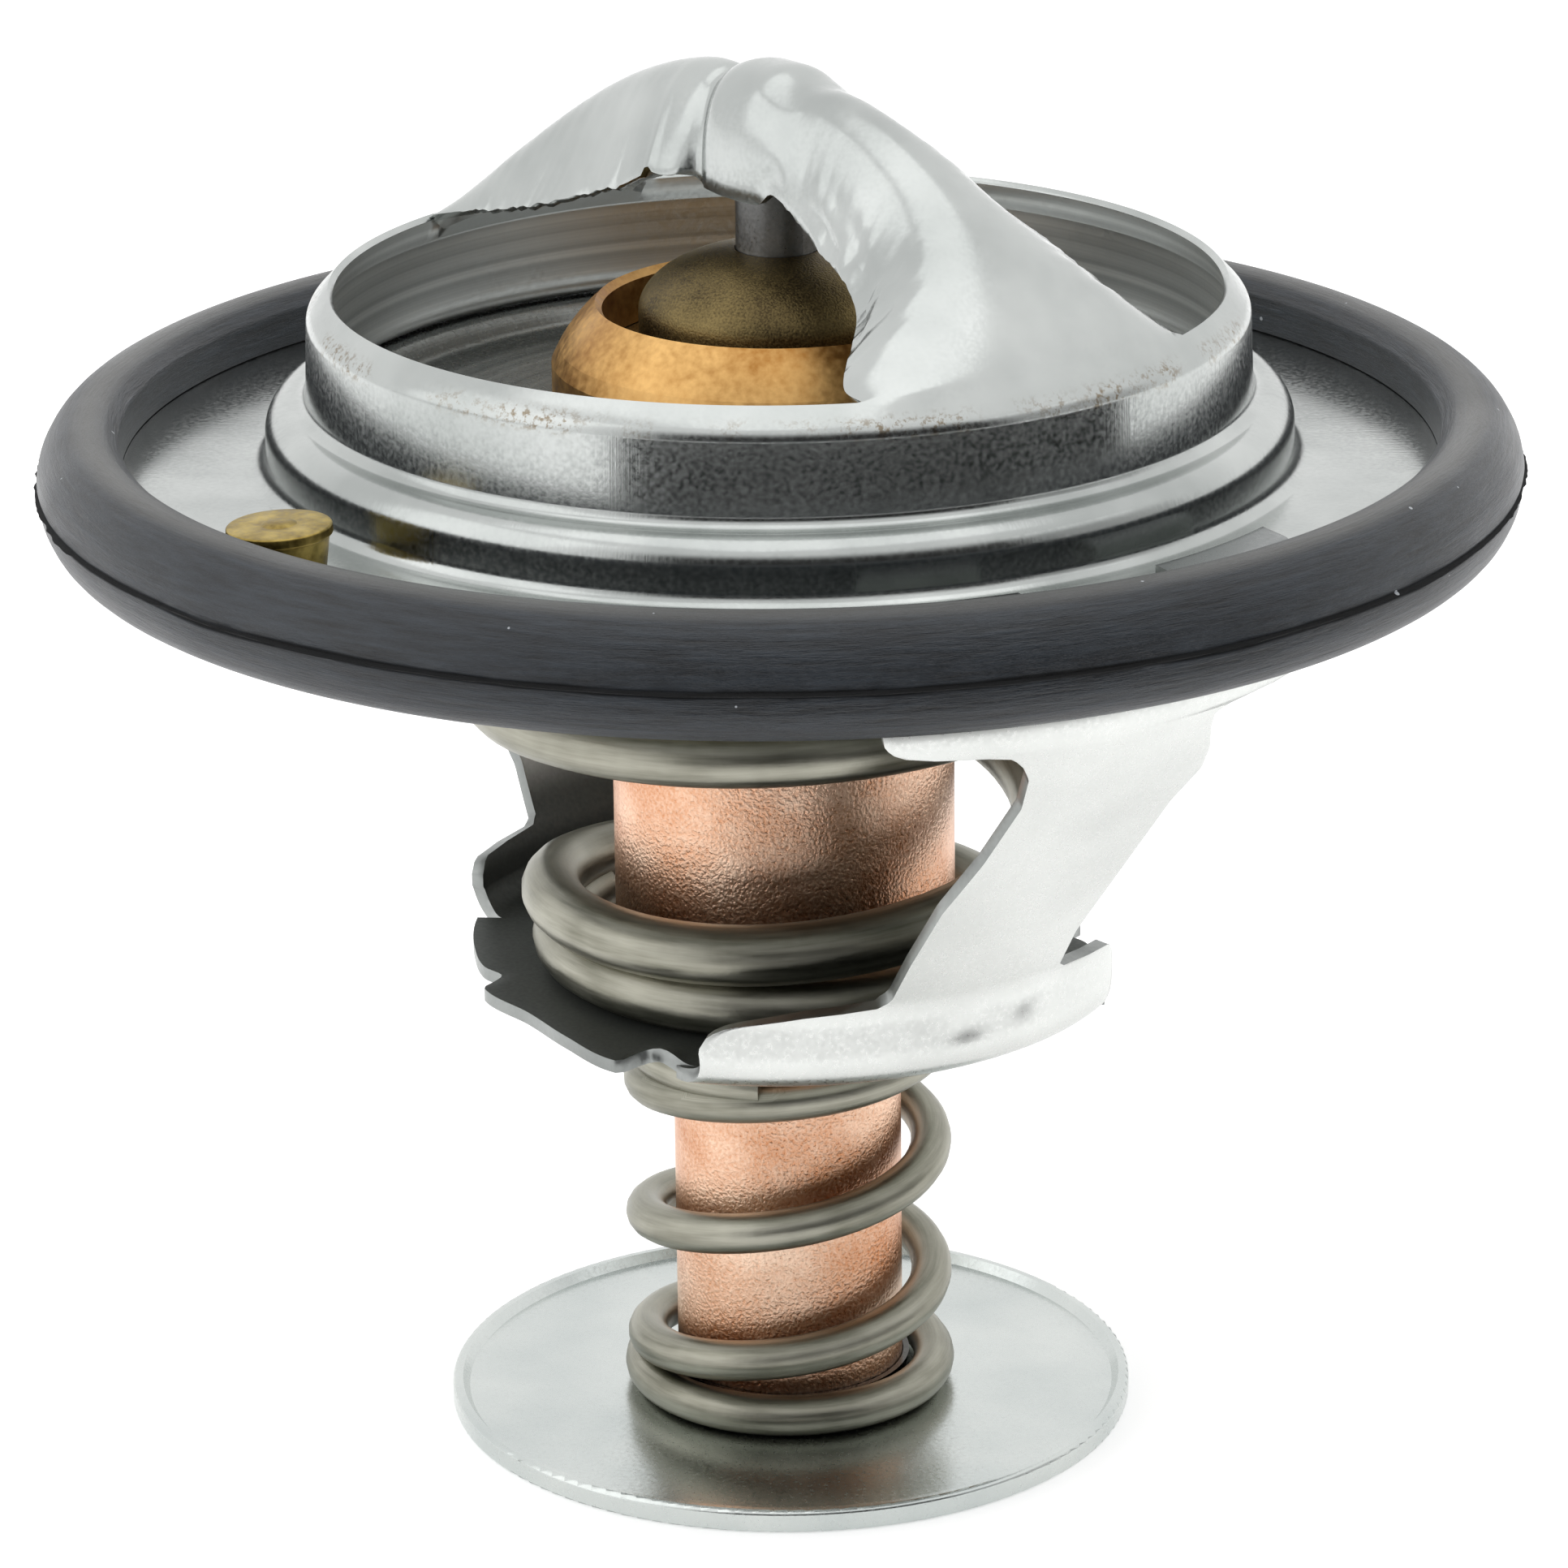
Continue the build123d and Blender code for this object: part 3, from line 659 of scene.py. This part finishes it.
bm = turned(h["outline"], h["steps"], closed=False)
if sum(f.normal.z for f in bm.faces if f.calc_center_median().z < 0.41 * mm) < 0:
    bmesh.ops.reverse_faces(bm, faces=bm.faces[:])
for v in bm.verts:
    # the same turn for a whole ring leaves the shape as it is and only moves the steps
    off = (atan2(v.co.y, v.co.x) - radians(180 + h["footTurn"]) + pi) % (2 * pi) - pi
    size = abs(off)
    wide, narrow, reach = rimArc, radians(h["farFoot"]), radians(70)
    if size < wide:
        fresh = size * narrow / wide
    else:
        fresh = narrow + (size - wide) * (reach - narrow) / (reach - wide) if size < reach else size
    turnBy = (fresh - size) * (1 if off > 0 else -1)
    v.co = Matrix.Rotation(turnBy, 3, "Z") @ v.co
rim = [v for v in bm.verts if v.is_boundary and v.co.z > 8 * mm]


# The rim's vertices under a foot, in order round it
def footRow(middle, arc):
    spots = [(((atan2(v.co.y, v.co.x) - radians(middle) + pi) % (2 * pi)) - pi, v) for v in rim]
    return [v for off, v in sorted((s for s in spots if abs(s[0]) < arc + 0.004), key=lambda s: s[0])]


row = footRow(h["footTurn"], rimArc)
farRow = footRow(180 + h["footTurn"], radians(h["farFoot"]))[::-1]
rows = round(2 * h["rimR"] / h["rowStep"])
for i in range(1, rows + 1):
    x = h["rimR"] * (1 - 2 * i / rows)
    edges = [e for a, b in zip(row, row[1:]) for e in a.link_edges if b in e.verts]
    made = bmesh.ops.extrude_edge_only(bm, edges=edges)["geom"]
    row = freshRow(row, made)
    for k, v in enumerate(row):
        v.co = bridgePoint(1 if x >= 0 else -1, abs(x), 2 * k / (len(row) - 1) - 1)
for a, b in zip(row, farRow):
    a.co = b.co
bmesh.ops.remove_doubles(bm, verts=bm.verts[:], dist=1e-6)
# the feet run into the neck without a crease
inBlend = [v for v in bm.verts if v.co.z > 7.9 * mm and hypot(v.co.x, v.co.y) > 17.5 * mm]
blend = [v for v in inBlend if not v.is_boundary]
for again in range(2):
    bmesh.ops.smooth_vert(bm, verts=blend, factor=0.5, use_axis_x=True, use_axis_y=True, use_axis_z=True)
# marks left by the press on the knuckle, and wrinkles in the side of the near arm
mark, fold = h["press"], h["wrinkle"]
markX, markY, markZ = mark["place"]
for v in bm.verts:
    p = v.co / mm
    if p.z < 8.5 or v.is_boundary:
        continue
    flat = ((p.x - markX) * 0.65 + (p.y - markY) * 0.76) / mark["wide"]
    tall = (p.z - markZ) / mark["tall"]
    press = max(1 - flat * flat - tall * tall, 0) * (p.y < -1)
    run = smooth(fold["from"], fold["from"] + 2.5, p.x) * (1 - smooth(fold["to"] - 2.5, fold["to"], p.x))
    low = smooth(3.2, 0.6, p.z - bridgeEdge(1, -1, min(max(p.x, 0), 20))[1])
    wrinkle = run * (p.y < -2.2) * low * sin(3.1 * p.z + 2.2 * p.x + 2.5 * noise.noise(p * 0.6))
    v.co += Vector((0.62, -0.76, 0)) * (-mark["depth"] * press) * mm
    v.co += Vector((0.2, -0.9, 0.1)) * (fold["depth"] * wrinkle) * mm
bmesh.ops.recalc_face_normals(bm, faces=bm.faces[:])
if sum(f.normal.z for f in bm.faces) < 0:
    bmesh.ops.reverse_faces(bm, faces=bm.faces[:])
bm.verts.index_update()
cut = [v.index for v in bm.verts if v.is_boundary and v.co.z > 8 * mm]
housing = makePiece(
    "housingShell", bm, (pressedZinc, insideZinc), None, ["housing"], sharp=180
)
# the press thins the sheet where it shears the windows out
thin = housing.vertex_groups.new(name="sheared")
thin.add(list(range(len(housing.data.vertices))), 1.0, "REPLACE")
thin.add(cut, 0.0, "REPLACE")
wall = housing.modifiers.new("sheet", "SOLIDIFY")
wall.thickness = h["sheet"] * mm
wall.offset = -1
wall.material_offset = 1
wall.vertex_group = "sheared"
wall.thickness_vertex_group = h["shearedShare"]
edge = housing.modifiers.new("cutEdge", "BEVEL")
edge.width = h["edgeRadius"] * mm
edge.segments = 2
edge.limit_method = "ANGLE"
edge.angle_limit = radians(60)
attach(housing, "frame")
print("housing done")


# Seal: rubber ring with a ragged mould line

flash = 0.28  # how far the mould line stands out
sealSizes = {
    "steps": 480,
    "outline": [
        (29.72, 2.1, 0.25), (30.35, 2.72, 0.8), (31.4, 2.92, 1.7), (32.65, 2.35, 2.1), (33.35, 1.1, 1.8),
        (33.5, 0.3, 0), (33.47, 0.1, 0), (33.5 + flash, 0.0, 0), (33.45, -0.12, 0), (33.48, -0.35, 0),
        (33.36, -1.0, 1.5), (32.85, -2.1, 1.8), (31.8, -2.62, 2.0), (30.6, -2.4, 1.2), (29.72, -1.85, 0.25),
        (29.7, -0.43, 0), (31.72, -0.42, 0), (31.72, 0.42, 0), (29.7, 0.43, 0),
    ],
}
bm = turned(sealSizes["outline"], sealSizes["steps"])
for v in bm.verts:
    r = hypot(v.co.x, v.co.y) / mm
    angle = atan2(v.co.y, v.co.x)
    if r > 33.6:
        ragged = noise.noise(Vector((cos(angle), sin(angle), 0)) * 40)
        torn = noise.noise(Vector((cos(angle), sin(angle), 3)) * 9)
        back = flash * (0.45 + 0.5 * ragged + 0.5 * torn)
        v.co.x -= cos(angle) * back * mm
        v.co.y -= sin(angle) * back * mm
        v.co.z += 0.08 * torn * mm
makePiece("sealRing", bm, rubber, "frame", ["seal"], sharp=50)
print("seal done")


# Bracket: a dish with turned-up skirts and two arms, one half being the other turned round

bracketSizes = {
    "sheet": 0.6,
    "turn": -5.5,
    "steps": 288,
    "bore": 8.3,
    "floorZ": -24.6,
    "bendStart": 14.4,
    "line": [
        (14.4, -24.6, 0), (16.3, -24.6, 1.7), (16.3, -20.8, 2), (27.5, -5, 3), (27.5, 1.0, 0.7),
        (25.3, 1.0, 0),
    ],
    "sector": (-45, 37.5),
    # cut edge of the floor outside the skirts, by angle from the arm
    "floorEdge": [
        (-143, 15.6), (-127, 14.6), (-116.2, 14.0), (-111.2, 13.3), (-108.3, 13.7), (-105.3, 14.4),
        (-90, 13.7), (-75.7, 14.15), (-60.4, 15.2), (-59.5, 14.4), (-57.7, 13.8), (-53, 14.3), (-48, 14.5),
        (-45, 14.4),
    ],
    # sides of one arm by height
    "left": [
        (-24.6, -11.3), (-22.5, -11.5), (-21.8, -11.2), (-21.4, -10.6), (-21.25, -10.1), (-20.8, -7.6),
        (-20.55, -4.8), (-20.2, -4.3), (-18, -4.3), (-14.9, -4.1), (-12.1, -3.35), (-8.95, -2.9),
        (-7.2, -3.3), (-6.4, -3.9), (-5.8, -4.6), (-5.55, -6.0), (-5.35, -8.6), (-5.1, -9.7),
        (-4.6, -10.3), (-4, -10.4), (2, -10.4),
    ],
    "right": [
        (-24.6, 8.8), (-22.5, 9.2), (-21.4, 9.2), (-20.95, 8.9), (-20.75, 8.4), (-20.6, 5.2), (-20.3, 4.7),
        (-18.2, 4.5), (-10.9, 6.2), (-9.3, 7.2), (-8, 6.9), (-6.6, 6.1), (-5.7, 5.8), (-5.4, 6.3),
        (-5.25, 8.2), (-5.1, 10.6), (-4.85, 12.1), (-4.4, 12.6), (2, 12.6),
    ],
    "tabFoot": -0.42,
    "tabs": [(-9.6, -3.3), (3.6, 10.4)],
    "farDrop": 0.9,  # the far arm's skirt is this much lower
    "floorLift": 0.45,  # a ripple in the floor's free edge
    "dents": [((15.7, -0.4, -22.2), 0.25, 0.9), ((15.8, 2.6, -21.6), 0.12, 0.7)],  # place, depth, width
    "rings": 6,
    "bendStep": 0.26,
    "edgeRadius": 0.05,
}
b = bracketSizes


# A line with rounded corners, in steps of about equal length
def bentLine(points, step):
    spots = [Vector(points[0][:2])]
    for before, (r, z, bend), after in zip(points, points[1:], points[2:]):
        here = Vector((r, z))
        back, on = ((Vector(p[:2]) - here).normalized() for p in (before, after))
        turn = pi - back.angle(on)
        centre = here + (back + on).normalized() * (bend / cos(turn / 2))
        first = here + back * bend * tan(turn / 2) - centre
        last = here + on * bend * tan(turn / 2) - centre
        spots += [centre + first.slerp(last, k / 8).normalized() * bend for k in range(9)]
    spots.append(Vector(points[-1][:2]))
    filled = [spots[0]]
    for here, after in zip(spots, spots[1:]):
        parts = max(1, round((after - here).length / step))
        filled += [here.lerp(after, (k + 1) / parts) for k in range(parts)]
    return filled


stepAngle = 360 / b["steps"]
line = bentLine(b["line"], b["bendStep"])
reach = b["bendStart"] - b["bore"]
floorLine = [(b["bore"] + reach * k / b["rings"], b["floorZ"], 0) for k in range(b["rings"] + 1)]
bm = turned(floorLine, b["steps"], closed=False)
ring = {}  # the floor's outer vertices by step
for v in bm.verts:
    step = round(degrees(atan2(v.co.y, v.co.x)) / stepAngle)
    angle = step * stepAngle
    share = (hypot(v.co.x, v.co.y) / mm - b["bore"]) / reach
    if share > 0.99:
        ring[step % b["steps"]] = v
    if any(b["sector"][0] <= angle - middle <= b["sector"][1] for middle in (0, 180, -180)):
        continue
    fromArm = angle if angle <= 0 else angle - 180
    r = b["bore"] + (curved(b["floorEdge"], fromArm) - b["bore"]) * share
    z = b["floorZ"] + b["floorLift"] * exp(-(((fromArm + 54) / 3.4) ** 2)) * share**6
    v.co = Vector((r * cos(radians(angle)), r * sin(radians(angle)), z)) * mm
for arm in (1, -1):
    middle = 0 if arm > 0 else 180
    first = round((b["sector"][0] + middle) / stepAngle)
    count = round((b["sector"][1] - b["sector"][0]) / stepAngle)
    row = [ring[(first + k) % b["steps"]] for k in range(count + 1)]
    for r, z in line[1:]:
        left, right = between(b["left"], z), between(b["right"], z)
        places = [left + (right - left) * k / count for k in range(count + 1)]
        going = [k for k in range(count) if row[k] and row[k + 1]]
        if z > b["tabFoot"]:
            going = [k for k in going if any(low < places[k] + 0.2 < high for low, high in b["tabs"])]
        edges = [e for k in going for e in row[k].link_edges if row[k + 1] in e.verts]
        made = bmesh.ops.extrude_edge_only(bm, edges=edges)["geom"]
        row = freshRow(row, made)
        drop = 0 if arm > 0 else b["farDrop"] * smooth(-23.4, -21.5, z) * (1 - smooth(-20, -12, z))
        for side, v in zip(places, row):
            if v:
                v.co = Vector((arm * sqrt(r * r - side * side), arm * side, z - drop)) * mm
bmesh.ops.recalc_face_normals(bm, faces=bm.faces[:])
if sum(f.normal.z for f in bm.faces if f.calc_center_median().z < -24.5 * mm) > 0:
    bmesh.ops.reverse_faces(bm, faces=bm.faces[:])
for v in bm.verts:
    for spot, depth, wide in b["dents"]:
        v.co.x -= depth * exp(-((v.co / mm - Vector(spot)).length / wide) ** 2) * mm
bmesh.ops.rotate(bm, verts=bm.verts[:], cent=(0, 0, 0), matrix=Matrix.Rotation(radians(b["turn"]), 3, "Z"))
bracket = makePiece(
    "bracketSheet", bm, (brightSheet, insideSheet, cutSheet), None, ["bracket"], sharp=180
)
wall = bracket.modifiers.new("sheet", "SOLIDIFY")
wall.thickness = b["sheet"] * mm
wall.offset = -1
wall.material_offset = 1
wall.material_offset_rim = 2
wall.use_even_offset = True
edge = bracket.modifiers.new("cutEdge", "BEVEL")
edge.width = b["edgeRadius"] * mm
edge.segments = 2
edge.limit_method = "ANGLE"
edge.angle_limit = radians(60)
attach(bracket, "frame")
print("bracket done")


# Guide: its head is a low dome, so it is turned to a flat ellipse

guideSizes = {
    "radius": 6.3,
    "equator": 7.1,
    "rise": 2.95,
    "bore": 1.95,
    "clampR": 9.4,
    "base": 5.05,
    "step": 5.15,
    "lighterBand": 7.6,  # below this height the brass is the lighter, yellow band
    "steps": 160,
}
g = guideSizes
turns = [radians(a) for a in range(0, 72, 4)]
outline = [(g["radius"] * cos(a), g["equator"] + g["rise"] * sin(a), 0) for a in turns]
outline += [(g["bore"], g["equator"] + g["rise"] * 0.951, 0), (g["bore"], g["base"], 0)]
outline += [(g["clampR"], g["base"], 0), (g["clampR"], g["step"], 0), (g["radius"], g["step"], 0)]
bm = turned(outline, g["steps"])
for f in bm.faces:
    f.material_index = int(f.calc_center_median().z < g["lighterBand"] * mm)
makePiece("guideDome", bm, (oliveBrass, yellowBandBrass), "element", ["guide"])
print("guide done")


# Jiggle pin: hangs askew in its hole, its coned head down on the flange

pinSizes = {
    "outline": [
        (0, 2.42, 0), (0.55, 2.42, 0), (0.78, 2.32, 0.1), (1.3, 2.34, 0), (2.3, 2.28, 0.1),
        (2.32, 1.86, 0.1), (2.15, 1.76, 0), (1.95, 0.44, 0), (0.84, 0.44, 0), (0.84, -1.9, 0),
        (1.5, -2.2, 0.4), (1.75, -3.0, 0.5), (1.2, -4.2, 0.6), (0, -4.5, 0),
    ],
    "steps": 96,
    "tilt": 2.4,
    "tiltAxis": (0.8, -0.6, 0),
    "seat": 0.4,  # the flange's upper face
    "place": (0.59, -27.1, 0),
}
bm = turned(pinSizes["outline"], pinSizes["steps"], closed=False)
tilt = Matrix.Rotation(radians(pinSizes["tilt"]), 3, pinSizes["tiltAxis"])
bmesh.ops.rotate(bm, verts=bm.verts[:], cent=(0, 0, pinSizes["seat"] * mm), matrix=tilt)
bmesh.ops.translate(bm, verts=bm.verts[:], vec=Vector(pinSizes["place"]) * mm)
makePiece("jigglePin", bm, pinBrass, "jiggle", ["jiggle_pin"])
print("jiggle pin done")


# Springs: round wire, wound right-handed, the end turns lying against their neighbours

frontTurn = 53.6  # the springs' angles are seen from the front, and the bridge is turned by this much
mainSpring = {
    "wire": 2.8,
    "path": [  # angle, height, radius of the wire's centre
        (150, -22.58, 10.3), (270, -22.58, 10.4), (360, -22.58, 10.45), (450, -22.3, 10.55),
        (540, -20.4, 10.8), (630, -19.75, 11.15), (720, -17.4, 11.9), (810, -13.6, 12.7), (900, -10.75, 13.3),
        (990, -9.45, 13.75), (1080, -8.35, 14.1), (1170, -7.2, 14.45), (1260, -6.1, 14.8), (1350, -5.0, 15.2),
        (1440, -3.9, 15.6), (1530, -2.85, 15.95), (1620, -1.95, 16.3), (1710, -1.1, 16.6),
        (1800, -0.65, 16.9), (1890, -0.6, 17.0),
    ],
}
bypassSpring = {
    "wire": 1.9,
    "path": [
        (160, -44.3, 6.85), (270, -44.3, 6.85), (360, -44.25, 6.8), (450, -43.75, 6.75), (540, -42.85, 6.7),
        (630, -41.4, 6.7), (720, -39.75, 6.7), (810, -38.2, 6.7), (900, -36.7, 6.7), (990, -34.95, 6.7),
        (1080, -33.2, 6.7), (1170, -31.6, 6.7), (1260, -29.95, 6.7), (1350, -28.6, 6.7),
        (1440, -27.95, 6.7), (1530, -27.9, 6.7), (1700, -27.9, 6.7),
    ],
}


def coil(name, spring, nodeName):
    heights = [(p[0], p[1]) for p in spring["path"]]
    radii = [(p[0], p[2]) for p in spring["path"]]
    first, last = heights[0][0], heights[-1][0]
    steps = round((last - first) / 5)  # one for each 5 degrees
    wireR = spring["wire"] / 2
    spots = []
    for i in range(steps + 1):
        turn = first + (last - first) * i / steps
        angle = radians(turn + frontTurn)
        r, z = curved(radii, turn), curved(heights, turn)
        spots.append(Vector((r * cos(angle), r * sin(angle), z)) * mm)
    curve = bpy.data.curves.new(name, "CURVE")
    curve.dimensions = "3D"
    curve.bevel_depth = wireR * mm
    curve.bevel_resolution = 6
    curve.use_fill_caps = True
    spline = curve.splines.new("POLY")
    spline.points.add(len(spots) - 1)
    for point, spot in zip(spline.points, spots):
        point.co = (*spot, 1)
    maker = bpy.data.objects.new(name + "Maker", curve)
    bpy.context.scene.collection.objects.link(maker)
    bpy.context.view_layer.update()
    mesh = bpy.data.meshes.new_from_object(maker)
    bpy.data.objects.remove(maker)
    piece = makePiece(name, mesh, wire, None, [nodeName], sharp=60)
    tree = KDTree(len(spots))
    for i, spot in enumerate(spots):
        tree.insert(spot, i)
    tree.balance()
    lowZ, highZ = spots[0].z, spots[-1].z
    weights, places = [], []
    for v in piece.data.vertices:
        i = tree.find(v.co)[1]
        share = min(max((spots[i].z - lowZ) / (highZ - lowZ), 0), 1)
        weights.append(share)
        out = v.co - spots[i]
        flat = Vector((spots[i].x, spots[i].y, 0)).normalized()
        around = atan2(out.z, out.dot(flat))
        arc = i / steps * radians(last - first) * spring["path"][5][2]
        # the pattern is drawn out twelve times along the wire
        places.extend((arc * 0.08 * mm, wireR * cos(around) * mm, wireR * sin(around) * mm))
    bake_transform(piece)
    # each cross-section moves as one, so that the wire stays round
    streak = piece.data.attributes.new("wirePlace", "FLOAT_VECTOR", "POINT")
    streak.data.foreach_set("vector", places)
    return piece


coil("mainCoil", mainSpring, "main_spring")
coil("bypassCoil", bypassSpring, "bypass_spring")
print("springs done")


# Nodes that keep their own shape get their finish

finishes = {
    "piston": groundSteel,
    "collar": goldBrass,
    "cup": copper,
    "valve_plate": plateZinc,
    "bypass_disc": discZinc,
    "sleeve": sleeveRubber,
    "washer": washerPlastic,
    "wax": filledWax,
    "retaining_ring": darkSteel,
}
for name, material in finishes.items():
    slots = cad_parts[name].data.materials
    slots.clear()
    slots.append(material)
print("finishes done")


# Floor, light and camera

floorSizes = {"half": 3, "height": -46.02, "glow": 0.42, "shade": "#f2f2f2"}
bm = bmesh.new()
bmesh.ops.create_grid(bm, x_segments=1, y_segments=1, size=floorSizes["half"])
bmesh.ops.translate(bm, verts=bm.verts[:], vec=(0, 0, floorSizes["height"] * mm))
mesh = bpy.data.meshes.new("floor")
bm.to_mesh(mesh)
bm.free()
floor = bpy.data.objects.new("floor", mesh)
bpy.context.scene.collection.objects.link(floor)
# Paper, coated: matt white, with a little glow that only the camera and mirrors see
paper, tree = startMaterial("whitePaper")[:2]
rays = addNode(tree, "ShaderNodeLightPath")
seen = addNode(
    tree,
    "ShaderNodeMath",
    {"operation": "MAXIMUM"},
    {0: rays.outputs["Is Camera Ray"], 1: rays.outputs["Is Glossy Ray"]},
)
seenAny = addNode(
    tree,
    "ShaderNodeMath",
    {"operation": "MAXIMUM"},
    {0: seen.outputs["Value"], 1: rays.outputs["Is Transmission Ray"]},
)
glow = addNode(
    tree, "ShaderNodeMath", {"operation": "MULTIPLY"}, {0: seenAny.outputs["Value"], 1: floorSizes["glow"]}
)
white = addNode(tree, "ShaderNodeBsdfDiffuse", inputs={"Color": linear(floorSizes["shade"])})
lift = addNode(
    tree, "ShaderNodeEmission", inputs={"Color": (1, 1, 1, 1), "Strength": glow.outputs["Value"]}
)
total = addNode(tree, "ShaderNodeAddShader", inputs={0: white.outputs["BSDF"], 1: lift.outputs["Emission"]})
addNode(tree, "ShaderNodeOutputMaterial", inputs={"Surface": total.outputs["Shader"]})
mesh.materials.append(paper)

shot = {"drop": 19.41, "roll": -0.66, "away": 300.6, "height": 90.3, "sensor": 36, "lens": 159.0373}
viewTurn = radians(frontTurn)
viewDrop = radians(shot["drop"])
viewRoll = radians(shot["roll"])
ahead = Vector((-sin(viewTurn), cos(viewTurn), 0))
right = Vector((cos(viewTurn), sin(viewTurn), 0))
look = ahead * cos(viewDrop) - Vector((0, 0, 1)) * sin(viewDrop)
up = ahead * sin(viewDrop) + Vector((0, 0, 1)) * cos(viewDrop)
across = right * cos(viewRoll) + up * sin(viewRoll)
upright = up * cos(viewRoll) - right * sin(viewRoll)
lens = bpy.data.cameras.new("camera")
lens.sensor_width = shot["sensor"]
lens.lens = shot["lens"]
lens.clip_start = 0.01
camera = bpy.data.objects.new("camera", lens)
bpy.context.scene.collection.objects.link(camera)
stand = -ahead * shot["away"] * mm + Vector((0, 0, shot["height"] * mm))
camera.matrix_world = Matrix.Translation(stand) @ Matrix((across, upright, -look)).transposed().to_4x4()
bpy.context.scene.camera = camera

studio = {"bright": 1.05, "dark": 0.04, "turn": 30, "side": (0.3, 0.62), "top": (0.72, 0.36)}
world = bpy.data.worlds.new("studio")
bpy.context.scene.world = world
world.use_nodes = True
tree = world.node_tree
tree.nodes.clear()
way = addNode(tree, "ShaderNodeTexCoord").outputs["Generated"]
# A dark room stands on the side that the camera looks from, more to its right, up to the lamps
apart = addNode(tree, "ShaderNodeSeparateXYZ", inputs={"Vector": way})
flatWay = addNode(tree, "ShaderNodeCombineXYZ", inputs={"X": apart.outputs["X"], "Y": apart.outputs["Y"]})
bearing = addNode(tree, "ShaderNodeVectorMath", {"operation": "NORMALIZE"}, {0: flatWay.outputs["Vector"]})
roomWay = Matrix.Rotation(radians(studio["turn"]), 3, "Z") @ -ahead
toward = addNode(
    tree, "ShaderNodeVectorMath", {"operation": "DOT_PRODUCT"}, {0: bearing.outputs["Vector"], 1: roomWay}
)
wide = addNode(
    tree,
    "ShaderNodeMapRange",
    {"interpolation_type": "SMOOTHSTEP"},
    {0: toward.outputs["Value"], 1: studio["side"][0], 2: studio["side"][1]},
)
tall = addNode(
    tree,
    "ShaderNodeMapRange",
    {"interpolation_type": "SMOOTHSTEP"},
    {0: apart.outputs["Z"], 1: studio["top"][0], 2: studio["top"][1]},
)
room = addNode(
    tree, "ShaderNodeMath", {"operation": "MULTIPLY"}, {0: wide.outputs["Result"], 1: tall.outputs["Result"]}
)
dim = addNode(
    tree,
    "ShaderNodeMapRange",
    inputs={0: room.outputs["Value"], 1: 0.0, 2: 1.0, 3: studio["bright"], 4: studio["dark"]},
)
rays = addNode(tree, "ShaderNodeLightPath")
strength = addNode(  # the camera itself sees plain white
    tree,
    "ShaderNodeMix",
    {"data_type": "FLOAT"},
    {0: rays.outputs["Is Camera Ray"], 2: dim.outputs["Result"], 3: 1.0},
)
sky = addNode(
    tree, "ShaderNodeBackground", inputs={"Color": (1, 1, 1, 1), "Strength": strength.outputs["Result"]}
)
addNode(tree, "ShaderNodeOutputWorld", inputs={"Surface": sky.outputs["Background"]})


# A black flag lies in front, below the view, and only shows as a reflection

flagSizes = {"near": 112, "far": 900, "height": -45.5, "spread": 125, "turn": -38, "steps": 40}
bm = bmesh.new()
radii = (flagSizes["near"], flagSizes["far"])
near, far = (bm.verts.new((r * mm, 0, flagSizes["height"] * mm)) for r in radii)
start = bm.edges.new((near, far))
bmesh.ops.spin(
    bm,
    geom=[near, far, start],
    cent=(0, 0, 0),
    axis=(0, 0, 1),
    angle=radians(flagSizes["spread"]),
    steps=flagSizes["steps"],
)
toFront = Matrix.Rotation(viewTurn - pi / 2 + radians(flagSizes["turn"]), 3, "Z")
bmesh.ops.rotate(bm, verts=bm.verts[:], cent=(0, 0, 0), matrix=toFront)
mesh = bpy.data.meshes.new("blackFlag")
bm.to_mesh(mesh)
bm.free()
flag = bpy.data.objects.new("blackFlag", mesh)
bpy.context.scene.collection.objects.link(flag)
flag.visible_camera = flag.visible_diffuse = flag.visible_shadow = False
# Cloth, woven: matt black
cloth, tree = startMaterial("blackCloth")[:2]
dull = addNode(tree, "ShaderNodeBsdfDiffuse", inputs={"Color": linear("#141414")})
addNode(tree, "ShaderNodeOutputMaterial", inputs={"Surface": dull.outputs["BSDF"]})
mesh.materials.append(cloth)


softboxes = {  # width, height, power, and place as (to the right, ahead, up) in metres
    "topBox": (0.7, 0.7, 0.75, (0, 0, 0.7)),
    "leftBox": (0.6, 0.6, 0.55, (-0.6, -0.15, 0.35)),
    "rightBox": (0.4, 0.5, 0.3, (0.6, -0.2, 0.2)),
}
for name, (width, height, power, (aside, deep, high)) in softboxes.items():
    lamp = bpy.data.lights.new(name, "AREA")
    lamp.shape = "RECTANGLE"
    lamp.size, lamp.size_y = width, height
    lamp.energy = power
    box = bpy.data.objects.new(name, lamp)
    bpy.context.scene.collection.objects.link(box)
    box.location = right * aside + ahead * deep + Vector((0, 0, high))
    box.rotation_mode = "QUATERNION"
    box.rotation_quaternion = box.location.to_track_quat("Z", "Y")
print("stage done")

bpy.context.scene.view_settings.view_transform = "Standard"
